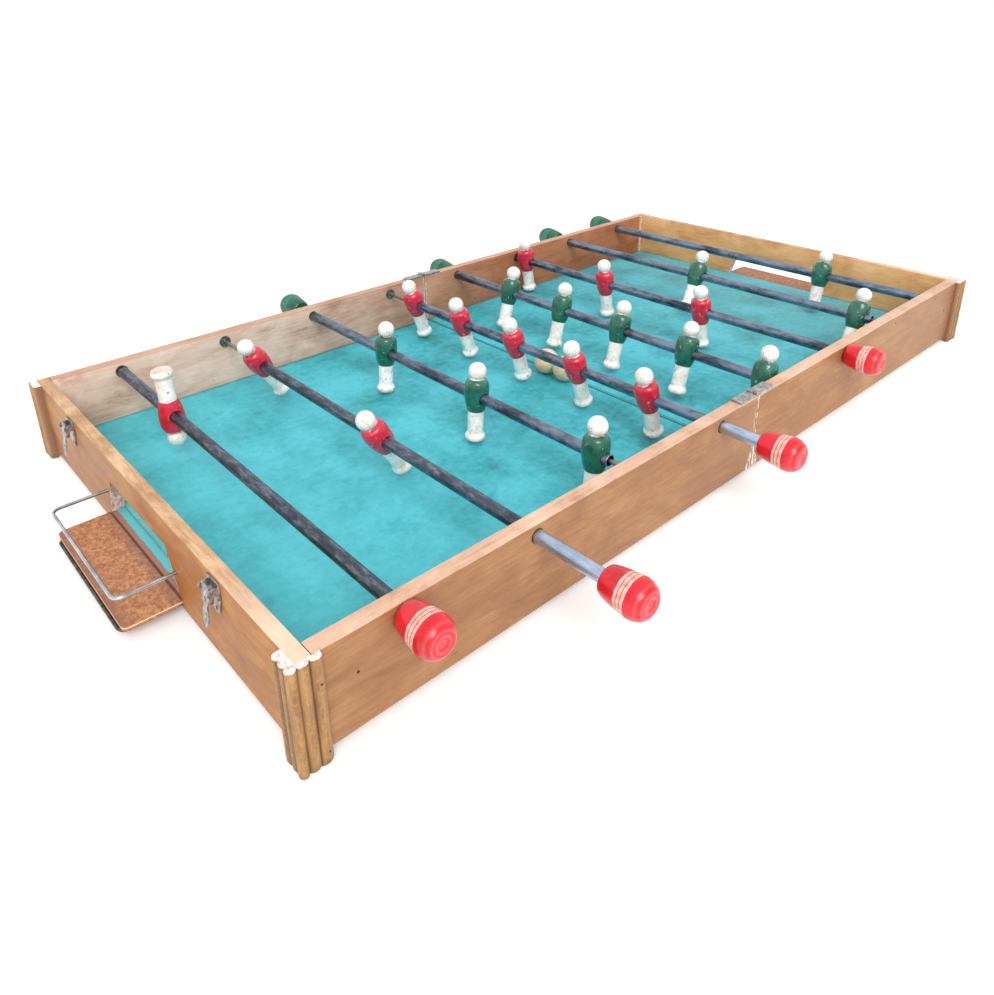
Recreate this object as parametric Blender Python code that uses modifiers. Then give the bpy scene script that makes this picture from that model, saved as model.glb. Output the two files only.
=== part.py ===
"""Folding table-top football game.

Two half boxes are hinged on their rims at the middle and fold shut like a case.
Eight hollow rods slide and turn in the side walls, each on a thin pin at the wall
opposite its handle, and carry turned wooden figures.
Metres, +Z up. The origin is the middle of the playing field, on the fold line.
"""

import math

import bmesh
import bpy
from mathutils import Matrix

for old in list(bpy.data.objects):
    bpy.data.objects.remove(old)

# Box
LENGTH = 1.068
WIDTH = 0.570
END_WALL = 0.012
SIDE_WALL = 0.014
RIM_HEIGHT = 0.068
SKIRT = 0.016
FIELD_BOARD = 0.008
CLEARANCE = 0.0003

# Corner posts: a reeded moulding that wraps each outer corner
POST_LEG = 0.018
POST_END_BACK = 0.0046
POST_SIDE_BACK = 0.0022
POST_DROP = 0.007
POST_ROUND = 0.003
POST_TOP_STEP = 0.0005
REED_HEIGHT = 0.0034
REED_SIDES = 4
CORNER_REED_RADIUS = 0.0038

# Goals: an opening with sloping ends in each end wall
GOAL_TOP_WIDTH = 0.132
GOAL_SILL_WIDTH = 0.160
GOAL_TOP = 0.038
GOAL_SILL = 0.003

# Goal trays and their wires
TRAY_DEPTH = 0.049
TRAY_WIDTH = 0.172
TRAY_BOARD = 0.006
TRAY_STEP = 0.002
TRAY_CORNER = 0.005
WIRE_RADIUS = 0.0016
WIRE_SIDES = 8
WIRE_SEAT = 0.008
WIRE_BEND = 0.008
FENCE_WIDTH = 0.166
FENCE_DEPTH = 0.050
FENCE_HEIGHT = 0.020
SUPPORT_INSET = 0.004
SUPPORT_WIDTH = TRAY_WIDTH - 2 * SUPPORT_INSET
SUPPORT_OUT = 0.0012
SUPPORT_BITE = 0.0006

# Rods
ROD_COUNT = 8
ROD_END_SPACE = 0.074
ROD_DROP = 0.0116
TUBE_RADIUS = 0.006
TUBE_WALL = 0.001
TUBE_SIDES = 12
TURNING_CLEARANCE = 0.0005
TUBE_END_GAP = 0.004
PIN_RADIUS = 0.0023
PIN_SIDES = 8
PIN_OVERLAP = 0.024
FLANGE_RADIUS = 0.0072
FLANGE_THICKNESS = 0.002
PIN_BURIED = 0.006

# Handles
KNOB_LENGTH = 0.0405
KNOB_RADIUS = 0.0166
KNOB_NECK_RADIUS = 0.0108
KNOB_END_RADIUS = 0.0080
KNOB_DIMPLE = 0.0020
KNOB_WIDEST = 0.66
KNOB_SOCKET = 0.018
KNOB_WALL_GAP = 0.0005
KNOB_SIDES = 12

# Figures, measured from the rod's axis
HEAD_RADIUS = 0.0098
HEAD_HEIGHT = 0.0283
NECK_RADIUS = 0.0058
SHOULDER_HEIGHT = 0.0203
SHOULDER_RADIUS = 0.0121
SHOULDER_DROP = 0.0032
CHEST_RADIUS = 0.0135
CHEST_HEIGHT = 0.0080
WAIST_RADIUS = 0.0121
WAIST_DROP = 0.0070
HEM_DROP = 0.0161
HEM_RADIUS = 0.0095
LEG_TOP_RADIUS = 0.0089
LEG_ANKLE_RADIUS = 0.0087
FOOT_TOP_DROP = 0.0410
FOOT_WIDEST_DROP = 0.0462
FOOT_BOTTOM_DROP = 0.0505
FOOT_RADIUS = 0.0111
SOLE_RADIUS = 0.0095
FIGURE_SIDES = 12

# Hinges on the rims
LEAF_LENGTH = 0.030
LEAF_WIDTH = 0.0126
LEAF_THICKNESS = 0.002
LEAF_AIR = 0.0003
BARREL_RADIUS = 0.0023
HINGE_PIN_RADIUS = 0.0011
BARREL_SIDES = 12

# Draw latches on the left end wall
LATCH_SPACING = 0.336
LATCH_PLATE_WIDTH = 0.020
LATCH_PLATE_HEIGHT = 0.030
LATCH_PLATE_THICKNESS = 0.0012
LATCH_TOP_GAP = 0.003
LATCH_PIVOT_DROP = 0.010
LATCH_PIVOT_OUT = 0.0062
LATCH_EAR = 0.0014
LATCH_EAR_RADIUS = 0.0032
LATCH_PIN_RADIUS = 0.0012
LEVER_WIDTH = 0.013
LEVER_THICKNESS = 0.0022
LEVER_ABOVE = 0.0038
LEVER_BODY = 0.013
LEVER_WAIST = 0.006
LEVER_TAIL = 0.032
LEVER_TAIL_WIDTH = 0.009
LEVER_HOLE_RADIUS = 0.0018
LEVER_HOLE_DROP = 0.0075
LEVER_LIFT_DEG = 8.0

# Balls
BALL_RADIUS = 0.0162
BALL_PLACES = ((-0.0086, 0.0070), (-0.0086, -0.0258))

# Rows of figures: spacing, the room left between the last figure and the wall opposite the
# handle when the rod is pushed in, and the rod's travel
PAIR_SPACING = 0.247
TRIO_SPACING = 0.167
FIVE_SPACING = 0.1015
KEEPER_ROOM = 0.132
PAIR_ROOM = 0.0100
TRIO_ROOM = 0.0082
FIVE_ROOM = 0.0032
KEEPER_TRAVEL = 0.250
PAIR_TRAVEL = 0.255
TRIO_TRAVEL = 0.170
FIVE_TRAVEL = 0.103
FIGURE_SPACING = {1: 0.0, 2: PAIR_SPACING, 3: TRIO_SPACING, 5: FIVE_SPACING}
FIGURE_ROOM = {1: KEEPER_ROOM, 2: PAIR_ROOM, 3: TRIO_ROOM, 5: FIVE_ROOM}
ROD_TRAVEL = {1: KEEPER_TRAVEL, 2: PAIR_TRAVEL, 3: TRIO_TRAVEL, 5: FIVE_TRAVEL}

# Rods from left to right: handle side (-1 near, 1 far), figures, lean of the heads towards +X
# in degrees, and how far the rod stands pulled out
RODS = (
    (-1, 1, 177.0, 0.0005),
    (-1, 2, -31.0, 0.0700),
    (1, 3, 4.5, 0.0160),
    (-1, 5, -17.5, 0.0430),
    (1, 5, 15.5, 0.0005),
    (-1, 3, -8.5, 0.0010),
    (1, 2, 24.0, 0.0100),
    (1, 1, 15.0, 0.0030),
)

# Derived places
end_out = LENGTH / 2
end_in = end_out - END_WALL
side_out = WIDTH / 2
side_in = side_out - SIDE_WALL
rod_z = RIM_HEIGHT - ROD_DROP
hinge_z = RIM_HEIGHT + CLEARANCE + LEAF_THICKNESS + LEAF_AIR
tray_top = -GOAL_SILL - TRAY_STEP
rod_hole = TUBE_RADIUS + TURNING_CLEARANCE
wire_hole = WIRE_RADIUS + CLEARANCE

parts = bpy.data.collections.new("folding_football_table")
tools = bpy.data.collections.new("cutters")
bpy.context.scene.collection.children.link(parts)
bpy.context.scene.collection.children.link(tools)


def material(name, colour, roughness, metallic=0.0):
    made = bpy.data.materials.new(name)
    made.use_nodes = True
    shader = made.node_tree.nodes["Principled BSDF"]
    shader.inputs["Base Color"].default_value = (*colour, 1.0)
    shader.inputs["Roughness"].default_value = roughness
    shader.inputs["Metallic"].default_value = metallic
    return made


WOOD = material("varnished_wood", (0.46, 0.25, 0.11), 0.45)
FIELD_PAINT = material("turquoise_paint", (0.09, 0.42, 0.42), 0.6)
TRAY_BROWN = material("brown_hardboard", (0.28, 0.13, 0.06), 0.7)
TUBE_STEEL = material("tube_steel", (0.22, 0.23, 0.26), 0.4, 1.0)
PLATED_WIRE = material("plated_wire", (0.62, 0.64, 0.66), 0.2, 1.0)
IRONMONGERY = material("latch_steel", (0.45, 0.44, 0.42), 0.4, 1.0)
RED_PAINT = material("red_paint", (0.62, 0.02, 0.04), 0.35)
GREEN_PAINT = material("green_paint", (0.01, 0.15, 0.07), 0.35)
BALL_WOOD = material("ball_wood", (0.55, 0.33, 0.16), 0.5)


def new_object(name, data, collection=parts):
    made = bpy.data.objects.new(name, data)
    collection.objects.link(made)
    return made


def mesh_from(name, shape):
    mesh = bpy.data.meshes.new(name)
    bmesh.ops.recalc_face_normals(shape, faces=shape.faces)
    shape.to_mesh(mesh)
    shape.free()
    return mesh


def box(name, low, high):
    """A block between two corners, given in any order."""
    shape = bmesh.new()
    bmesh.ops.create_cube(shape, size=1.0)
    size = [abs(b - a) for a, b in zip(low, high)]
    middle = [(a + b) / 2 for a, b in zip(low, high)]
    bmesh.ops.scale(shape, vec=size, verts=shape.verts)
    bmesh.ops.translate(shape, vec=middle, verts=shape.verts)
    return new_object(name, mesh_from(name, shape))


def cylinder(name, radius, start, end, sides):
    """A round bar along the axis on which start and end differ."""
    shape = bmesh.new()
    along = [b - a for a, b in zip(start, end)]
    length = math.dist(start, end)
    bmesh.ops.create_cone(
        shape, cap_ends=True, segments=sides, radius1=radius, radius2=radius, depth=length
    )
    if along[0]:
        bmesh.ops.rotate(shape, matrix=Matrix.Rotation(math.pi / 2, 3, "Y"), verts=shape.verts)
    elif along[1]:
        bmesh.ops.rotate(shape, matrix=Matrix.Rotation(math.pi / 2, 3, "X"), verts=shape.verts)
    middle = [(a + b) / 2 for a, b in zip(start, end)]
    bmesh.ops.translate(shape, vec=middle, verts=shape.verts)
    return new_object(name, mesh_from(name, shape))


def turned(name, profile, sides):
    """A shape turned about Z from (radius, height) points that run down its outer side."""
    mesh = bpy.data.meshes.new(name)
    points = [(r, 0.0, z) for r, z in profile]
    mesh.from_pydata(points, [(i, i + 1) for i in range(len(points) - 1)], [])
    made = new_object(name, mesh)
    screw = made.modifiers.new("turn", "SCREW")
    screw.axis = "Z"
    screw.angle = 2 * math.pi
    screw.steps = sides
    screw.render_steps = sides
    screw.use_merge_vertices = True
    screw.merge_threshold = 0.00005
    return made


def flat(name, outline, thickness):
    """A flat plate from an outline, centred on its own XY plane."""
    curve = bpy.data.curves.new(name, "CURVE")
    curve.dimensions = "2D"
    curve.fill_mode = "BOTH"
    curve.extrude = thickness / 2
    spline = curve.splines.new("POLY")
    spline.points.add(len(outline) - 1)
    for point, (u, v) in zip(spline.points, outline):
        point.co = (u, v, 0.0, 1.0)
    spline.use_cyclic_u = True
    return settled(new_object(name + "_outline", curve), name)


def wire(name, route):
    """A round wire along a route of points, closed at both ends."""
    curve = bpy.data.curves.new(name, "CURVE")
    curve.dimensions = "3D"
    curve.bevel_depth = WIRE_RADIUS
    curve.bevel_resolution = WIRE_SIDES // 2 - 2
    curve.use_fill_caps = True
    spline = curve.splines.new("POLY")
    spline.points.add(len(route) - 1)
    for point, place in zip(spline.points, route):
        point.co = (*place, 1.0)
    return settled(new_object(name + "_route", curve), name)


def settled(source, name):
    """The object as a plain welded mesh, in place of its source."""
    bpy.context.view_layer.update()
    seen = source.evaluated_get(bpy.context.evaluated_depsgraph_get())
    mesh = bpy.data.meshes.new_from_object(seen)
    mesh.name = name
    shape = bmesh.new()
    shape.from_mesh(mesh)
    bmesh.ops.remove_doubles(shape, verts=shape.verts, dist=0.00002)
    bmesh.ops.recalc_face_normals(shape, faces=shape.faces)
    shape.to_mesh(mesh)
    shape.free()
    made = new_object(name, mesh)
    made.matrix_world = source.matrix_world
    bpy.data.objects.remove(source)
    return made


def use(piece, tool, operation):
    """Join a tool to a piece, or cut the piece with it."""
    step = piece.modifiers.new(tool.name, "BOOLEAN")
    step.operation = operation
    step.solver = "EXACT"
    step.object = tool
    parts.objects.unlink(tool)
    tools.objects.link(tool)
    tool.hide_render = True
    tool.display_type = "WIRE"
    if tool.parent is None:
        tool.parent = piece


def join(piece, tool):
    use(piece, tool, "UNION")


def cut(piece, tool):
    use(piece, tool, "DIFFERENCE")


def pivot(name, place, parent=None):
    """An empty on a joint's axis."""
    made = new_object(name, None)
    made.empty_display_size = 0.03
    made.location = place
    if parent is not None:
        made.parent = parent
        made.matrix_parent_inverse = Matrix.Translation(parent.location).inverted()
    return made


def carry(piece, parent):
    """Let a pivot carry a piece that already stands in its place."""
    piece.parent = parent
    piece.matrix_parent_inverse = Matrix.Translation(parent.location).inverted()


def finish(piece, look, smooth=False):
    piece.data.materials.clear()
    piece.data.materials.append(look)
    if smooth:
        piece.data.shade_smooth()
        piece.data.set_sharp_from_angle(angle=math.radians(40))


# The fold: an axis just above the rims, at the middle
fold = pivot("fold_axis", (0.0, 0.0, hinge_z))
HALVES = ((-1, "left"), (1, "right"))
FACES = ((-1, "near"), (1, "far"))


def settle_half(piece, side):
    if side > 0:
        carry(piece, fold)


# Corner posts, joined to the end walls
def reeds(start, end, back):
    """Two bulges along one leg of the moulding, as (along, out) points."""
    width = (end - start) / 2
    points = []
    for middle in (start + width / 2, end - width / 2):
        for step in range(REED_SIDES):
            angle = math.pi * (1 - step / REED_SIDES)
            along = middle + width / 2 * math.cos(angle)
            points.append((along, back + REED_HEIGHT * math.sin(angle)))
    return points


def post_outline():
    """The moulding seen from above, as (out from the end, out from the side) points."""
    tip_u = POST_END_BACK
    tip_v = POST_SIDE_BACK
    end_leg = reeds(-POST_LEG, tip_v - CORNER_REED_RADIUS, POST_END_BACK)
    side_leg = reeds(-POST_LEG, tip_u - CORNER_REED_RADIUS, POST_SIDE_BACK)
    points = [(out, along) for along, out in end_leg]
    for step in range(2 * REED_SIDES + 1):
        angle = math.radians(-75 + 240 * step / (2 * REED_SIDES))
        points.append(
            (
                tip_u + CORNER_REED_RADIUS * math.cos(angle),
                tip_v + CORNER_REED_RADIUS * math.sin(angle),
            )
        )
    points += reversed(side_leg)
    bite = END_WALL / 4
    points += [
        (-POST_LEG, CLEARANCE),
        (-END_WALL + bite, CLEARANCE),
        (-END_WALL + bite, -bite),
        (-bite, -bite),
        (-bite, -POST_LEG),
    ]
    return points


def corner_post(name, side, face):
    """The moulding as a standing block, drawn in a little at its foot."""
    top = RIM_HEIGHT - POST_TOP_STEP
    bottom = -SKIRT - POST_DROP
    outline = [(side * (end_out + u), face * (side_out + v)) for u, v in post_outline()]
    post = flat(name, outline, top - bottom)
    post.data.transform(Matrix.Translation((0.0, 0.0, (top + bottom) / 2)))
    shape = bmesh.new()
    shape.from_mesh(post.data)
    knee = bottom + POST_ROUND
    bmesh.ops.bisect_plane(
        shape,
        geom=shape.verts[:] + shape.edges[:] + shape.faces[:],
        dist=0.00001,
        plane_co=(0.0, 0.0, knee),
        plane_no=(0.0, 0.0, 1.0),
    )
    sole = [corner for corner in shape.verts if corner.co.z < knee - POST_ROUND / 2]
    shrink = 1 - POST_ROUND / POST_LEG
    centre = Matrix.Translation((-side * end_out, -face * side_out, 0.0))
    bmesh.ops.scale(shape, vec=(shrink, shrink, 1.0), space=centre, verts=sole)
    shape.to_mesh(post.data)
    shape.free()
    return post


# End walls with goal openings, and the trays and wires in front of them
def goal_cutter(name, side):
    shape = bmesh.new()
    bmesh.ops.create_cube(shape, size=1.0)
    for corner in shape.verts:
        upper = corner.co.z > 0
        width = GOAL_TOP_WIDTH if upper else GOAL_SILL_WIDTH
        corner.co.x = side * (end_out - END_WALL / 2) + corner.co.x * 2 * END_WALL
        corner.co.y = corner.co.y * width
        corner.co.z = GOAL_TOP if upper else -GOAL_SILL
    return new_object(name, mesh_from(name, shape))


def u_route(side, width, depth, height):
    """A wire that leaves the end wall, turns along it and goes back, with rounded bends."""
    start = end_out - WIRE_SEAT
    route = []
    for face in (-1, 1):
        run = [(start, face * width / 2)]
        for step in range(5):
            angle = math.pi / 2 * step / 4
            run.append(
                (
                    end_out + depth - WIRE_BEND + WIRE_BEND * math.sin(angle),
                    face * (width / 2 - WIRE_BEND + WIRE_BEND * math.cos(angle)),
                )
            )
        route += run if face < 0 else list(reversed(run))
    return [(side * x, y, height) for x, y in route]


support_depth = TRAY_DEPTH + SUPPORT_OUT
support_z = tray_top - TRAY_BOARD - WIRE_RADIUS + SUPPORT_BITE

for side, half in HALVES:
    wall = box(
        f"end_wall_{half}",
        (side * end_in, -side_out, -SKIRT),
        (side * end_out, side_out, RIM_HEIGHT),
    )
    for face, edge in FACES:
        join(wall, corner_post(f"post_{half}_{edge}", side, face))
    cut(wall, goal_cutter(f"goal_cut_{half}", side))
    for face, edge in FACES:
        for what, width, height in (
            ("fence", FENCE_WIDTH, FENCE_HEIGHT),
            ("support", SUPPORT_WIDTH, support_z),
        ):
            cut(
                wall,
                cylinder(
                    f"{what}_hole_{half}_{edge}",
                    wire_hole,
                    (side * (end_out - WIRE_SEAT - CLEARANCE), face * width / 2, height),
                    (side * (end_out + END_WALL), face * width / 2, height),
                    WIRE_SIDES,
                ),
            )
    finish(wall, WOOD)
    settle_half(wall, side)

    tray_in = end_out + CLEARANCE
    tray_out = end_out + TRAY_DEPTH
    outline = [(tray_in, -TRAY_WIDTH / 2)]
    for face in (-1, 1):
        corner = []
        for step in range(4):
            angle = math.pi / 2 * step / 3
            corner.append(
                (
                    tray_out - TRAY_CORNER + TRAY_CORNER * math.sin(angle),
                    face * (TRAY_WIDTH / 2 - TRAY_CORNER + TRAY_CORNER * math.cos(angle)),
                )
            )
        outline += corner if face < 0 else list(reversed(corner))
    outline.append((tray_in, TRAY_WIDTH / 2))
    tray = flat(f"goal_tray_{half}", [(side * x, y) for x, y in outline], TRAY_BOARD)
    tray.location = (0.0, 0.0, tray_top - TRAY_BOARD / 2)
    support = wire(
        f"tray_support_{half}", u_route(side, SUPPORT_WIDTH, support_depth, support_z)
    )
    support.parent = tray
    support.matrix_parent_inverse = Matrix.Translation(tray.location).inverted()
    join(tray, support)
    finish(tray, TRAY_BROWN)
    settle_half(tray, side)

    fence = wire(f"goal_fence_{half}", u_route(side, FENCE_WIDTH, FENCE_DEPTH, FENCE_HEIGHT))
    finish(fence, PLATED_WIRE, smooth=True)
    settle_half(fence, side)

    field = box(
        f"playfield_{half}",
        (side * CLEARANCE, -side_in + CLEARANCE, -FIELD_BOARD),
        (side * (end_in - CLEARANCE), side_in - CLEARANCE, 0.0),
    )
    finish(field, FIELD_PAINT)
    settle_half(field, side)


# Side walls: a hole for each rod with its handle on this side, a guide pin for the others
rod_pitch = 2 * (end_in - ROD_END_SPACE) / (ROD_COUNT - 1)


def rod_x(number):
    return (number - (ROD_COUNT + 1) / 2) * rod_pitch


def pin_length(count):
    return ROD_TRAVEL[count] + TUBE_END_GAP + PIN_OVERLAP


for side, half in HALVES:
    for face, edge in FACES:
        wall = box(
            f"side_wall_{edge}_{half}",
            (side * CLEARANCE / 2, face * side_in, -SKIRT),
            (side * (end_in - CLEARANCE), face * side_out, RIM_HEIGHT),
        )
        for number, (handle, count, lean, pulled) in enumerate(RODS, start=1):
            x = rod_x(number)
            if x * side < 0:
                continue
            if handle == face:
                hole = cylinder(
                    f"rod_{number}_hole",
                    rod_hole,
                    (x, face * (side_in - SIDE_WALL), rod_z),
                    (x, face * (side_out + SIDE_WALL), rod_z),
                    TUBE_SIDES,
                )
                cut(wall, hole)
            else:
                pin = turned(
                    f"rod_{number}_pin",
                    (
                        (0.0, pin_length(count)),
                        (PIN_RADIUS, pin_length(count)),
                        (PIN_RADIUS, FLANGE_THICKNESS),
                        (FLANGE_RADIUS, FLANGE_THICKNESS),
                        (FLANGE_RADIUS, -PIN_BURIED),
                        (0.0, -PIN_BURIED),
                    ),
                    PIN_SIDES,
                )
                pin.location = (x, face * side_in, rod_z)
                pin.rotation_euler = (face * math.pi / 2, 0.0, 0.0)
                join(wall, pin)
        finish(wall, WOOD)
        settle_half(wall, side)


# Rods: tube, handle and figures
def knob_profile():
    """Down the outside from the dimple to the neck, then up the socket."""
    points = [(0.0, KNOB_LENGTH - KNOB_DIMPLE), (KNOB_END_RADIUS, KNOB_LENGTH)]
    widest = KNOB_LENGTH * KNOB_WIDEST
    for step in (1, 2, 3):
        angle = math.pi / 2 * step / 3
        points.append(
            (
                KNOB_END_RADIUS + (KNOB_RADIUS - KNOB_END_RADIUS) * math.sin(angle),
                widest + (KNOB_LENGTH - widest) * math.cos(angle),
            )
        )
    for step in (1, 2):
        angle = math.pi / 2 * step / 3
        points.append(
            (
                KNOB_NECK_RADIUS + (KNOB_RADIUS - KNOB_NECK_RADIUS) * math.cos(angle),
                widest * (1 - math.sin(angle) ** 2),
            )
        )
    points += [(KNOB_NECK_RADIUS, 0.0), (rod_hole, 0.0), (rod_hole, KNOB_SOCKET)]
    points.append((0.0, KNOB_SOCKET))
    return points


def figure_profile():
    """Head, neck, barrel body, leg and foot, from the crown down to the sole."""
    points = [(0.0, HEAD_HEIGHT + HEAD_RADIUS)]
    neck = math.acos(NECK_RADIUS / HEAD_RADIUS)
    for share in (0.26, 0.52, 0.78):
        angle = math.pi / 2 - share * (math.pi / 2 + neck)
        points.append(
            (HEAD_RADIUS * math.cos(angle), HEAD_HEIGHT + HEAD_RADIUS * math.sin(angle))
        )
    points += [
        (NECK_RADIUS, SHOULDER_HEIGHT),
        (SHOULDER_RADIUS, SHOULDER_HEIGHT - SHOULDER_DROP),
        (CHEST_RADIUS, CHEST_HEIGHT),
        (WAIST_RADIUS, -WAIST_DROP),
        (HEM_RADIUS, -HEM_DROP),
        (LEG_TOP_RADIUS, -HEM_DROP),
        (LEG_ANKLE_RADIUS, -FOOT_TOP_DROP),
        (FOOT_RADIUS, -FOOT_WIDEST_DROP),
        (SOLE_RADIUS, -FOOT_BOTTOM_DROP),
        (0.0, -FOOT_BOTTOM_DROP),
    ]
    return points


def figure_mesh(name, look):
    """One turned figure, bored across for the rod."""
    blank = turned(name, figure_profile(), FIGURE_SIDES)
    reach = 2 * CHEST_RADIUS
    bore = cylinder(name + "_bore", rod_hole, (0, -reach, 0), (0, reach, 0), TUBE_SIDES)
    cut(blank, bore)
    bpy.context.view_layer.update()
    seen = blank.evaluated_get(bpy.context.evaluated_depsgraph_get())
    mesh = bpy.data.meshes.new_from_object(seen)
    mesh.name = name
    bpy.data.objects.remove(bore)
    bpy.data.objects.remove(blank)
    mesh.materials.clear()
    mesh.materials.append(look)
    mesh.shade_smooth()
    mesh.set_sharp_from_angle(angle=math.radians(40))
    return mesh


def knob_mesh(name, look):
    blank = turned(name, knob_profile(), KNOB_SIDES)
    bpy.context.view_layer.update()
    seen = blank.evaluated_get(bpy.context.evaluated_depsgraph_get())
    mesh = bpy.data.meshes.new_from_object(seen)
    mesh.name = name
    bpy.data.objects.remove(blank)
    mesh.materials.clear()
    mesh.materials.append(look)
    mesh.shade_smooth()
    mesh.set_sharp_from_angle(angle=math.radians(40))
    return mesh


figures = {-1: figure_mesh("red_figure", RED_PAINT), 1: figure_mesh("green_figure", GREEN_PAINT)}
knobs = {-1: knob_mesh("red_knob", RED_PAINT), 1: knob_mesh("green_knob", GREEN_PAINT)}

mouth = side_out + KNOB_WALL_GAP
for number, (handle, count, lean, pulled) in enumerate(RODS, start=1):
    x = rod_x(number)
    slide = pivot(f"rod_{number}_slide", (x, handle * pulled, rod_z), fold if x > 0 else None)
    turn = new_object(f"rod_{number}_turn", None)
    turn.empty_display_size = 0.03
    turn.parent = slide
    turn.rotation_euler = (0.0, math.radians(lean), 0.0)

    shape = bmesh.new()
    blind = CLEARANCE
    length = side_in - TUBE_END_GAP + mouth + KNOB_SOCKET - blind
    bmesh.ops.create_cone(
        shape,
        cap_ends=False,
        segments=TUBE_SIDES,
        radius1=TUBE_RADIUS,
        radius2=TUBE_RADIUS,
        depth=length,
    )
    bmesh.ops.rotate(shape, matrix=Matrix.Rotation(math.pi / 2, 3, "X"), verts=shape.verts)
    tube = new_object(f"rod_{number}_tube", mesh_from(f"rod_{number}_tube", shape))
    wall = tube.modifiers.new("tube_wall", "SOLIDIFY")
    wall.thickness = TUBE_WALL
    wall.offset = -1.0
    wall.use_even_offset = True
    tube.parent = slide
    tube.location = (0.0, handle * (mouth + KNOB_SOCKET - blind - length / 2), 0.0)
    finish(tube, TUBE_STEEL, smooth=True)

    knob = new_object(f"rod_{number}_handle", knobs[handle])
    knob.parent = turn
    knob.location = (0.0, handle * mouth, 0.0)
    knob.rotation_euler = (-handle * math.pi / 2, 0.0, 0.0)

    outer = (count - 1) / 2 * FIGURE_SPACING[count]
    centre = side_in - CHEST_RADIUS - FIGURE_ROOM[count] - outer
    for place in range(count):
        figure = new_object(f"rod_{number}_figure_{place + 1}", figures[handle])
        figure.parent = turn
        figure.location = (
            0.0,
            -handle * centre - outer + place * FIGURE_SPACING[count],
            0.0,
        )

# Hinges: the left leaf keeps the pin and two knuckles, the right leaf has the middle one
knuckle = LEAF_WIDTH / 3
leaf_low = RIM_HEIGHT + CLEARANCE
for face, edge in FACES:
    y = face * (side_out - SIDE_WALL / 2)
    for side, half in HALVES:
        leaf = box(
            f"hinge_leaf_{edge}_{half}",
            (side * (BARREL_RADIUS + CLEARANCE), y - LEAF_WIDTH / 2, leaf_low),
            (side * LEAF_LENGTH, y + LEAF_WIDTH / 2, leaf_low + LEAF_THICKNESS),
        )
        for place in (-1, 1) if side < 0 else (0,):
            slack = CLEARANCE / 2
            low_y = y + (place - 0.5) * knuckle + slack * (place > -1)
            high_y = y + (place + 0.5) * knuckle - slack * (place < 1)
            tongue = box(
                f"tongue_{edge}_{half}_{place}",
                (0.0, low_y, leaf_low + LEAF_THICKNESS / 8),
                (side * 2 * BARREL_RADIUS, high_y, leaf_low + LEAF_THICKNESS * 7 / 8),
            )
            join(leaf, tongue)
            barrel = cylinder(
                f"knuckle_{edge}_{half}_{place}",
                BARREL_RADIUS,
                (0.0, low_y, hinge_z),
                (0.0, high_y, hinge_z),
                BARREL_SIDES,
            )
            join(leaf, barrel)
        core = HINGE_PIN_RADIUS if side < 0 else HINGE_PIN_RADIUS + CLEARANCE
        reach = LEAF_WIDTH / 2 if side < 0 else LEAF_WIDTH
        pin = cylinder(
            f"hinge_pin_{edge}_{half}",
            core,
            (0.0, y - reach, hinge_z),
            (0.0, y + reach, hinge_z),
            PIN_SIDES,
        )
        use(leaf, pin, "UNION" if side < 0 else "DIFFERENCE")
        finish(leaf, IRONMONGERY)
        settle_half(leaf, side)


# Draw latches: a plate with two ears, and a lever on a pin between them
def lever_outline():
    """The lever seen from the front, pivot at the origin, tail downwards."""
    half = LEVER_WIDTH / 2
    waist = LEVER_WAIST / 2
    leaf = LEVER_TAIL_WIDTH / 2
    right = [
        (half, LEVER_ABOVE),
        (half, -LEVER_BODY / 2),
        (waist, -LEVER_BODY),
        (leaf, -(LEVER_BODY + LEVER_TAIL) / 2),
        (leaf * 0.6, -LEVER_TAIL * 0.9),
        (0.0, -LEVER_TAIL),
    ]
    left = [(-u, v) for u, v in reversed(right[:-1])]
    return right + left


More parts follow.
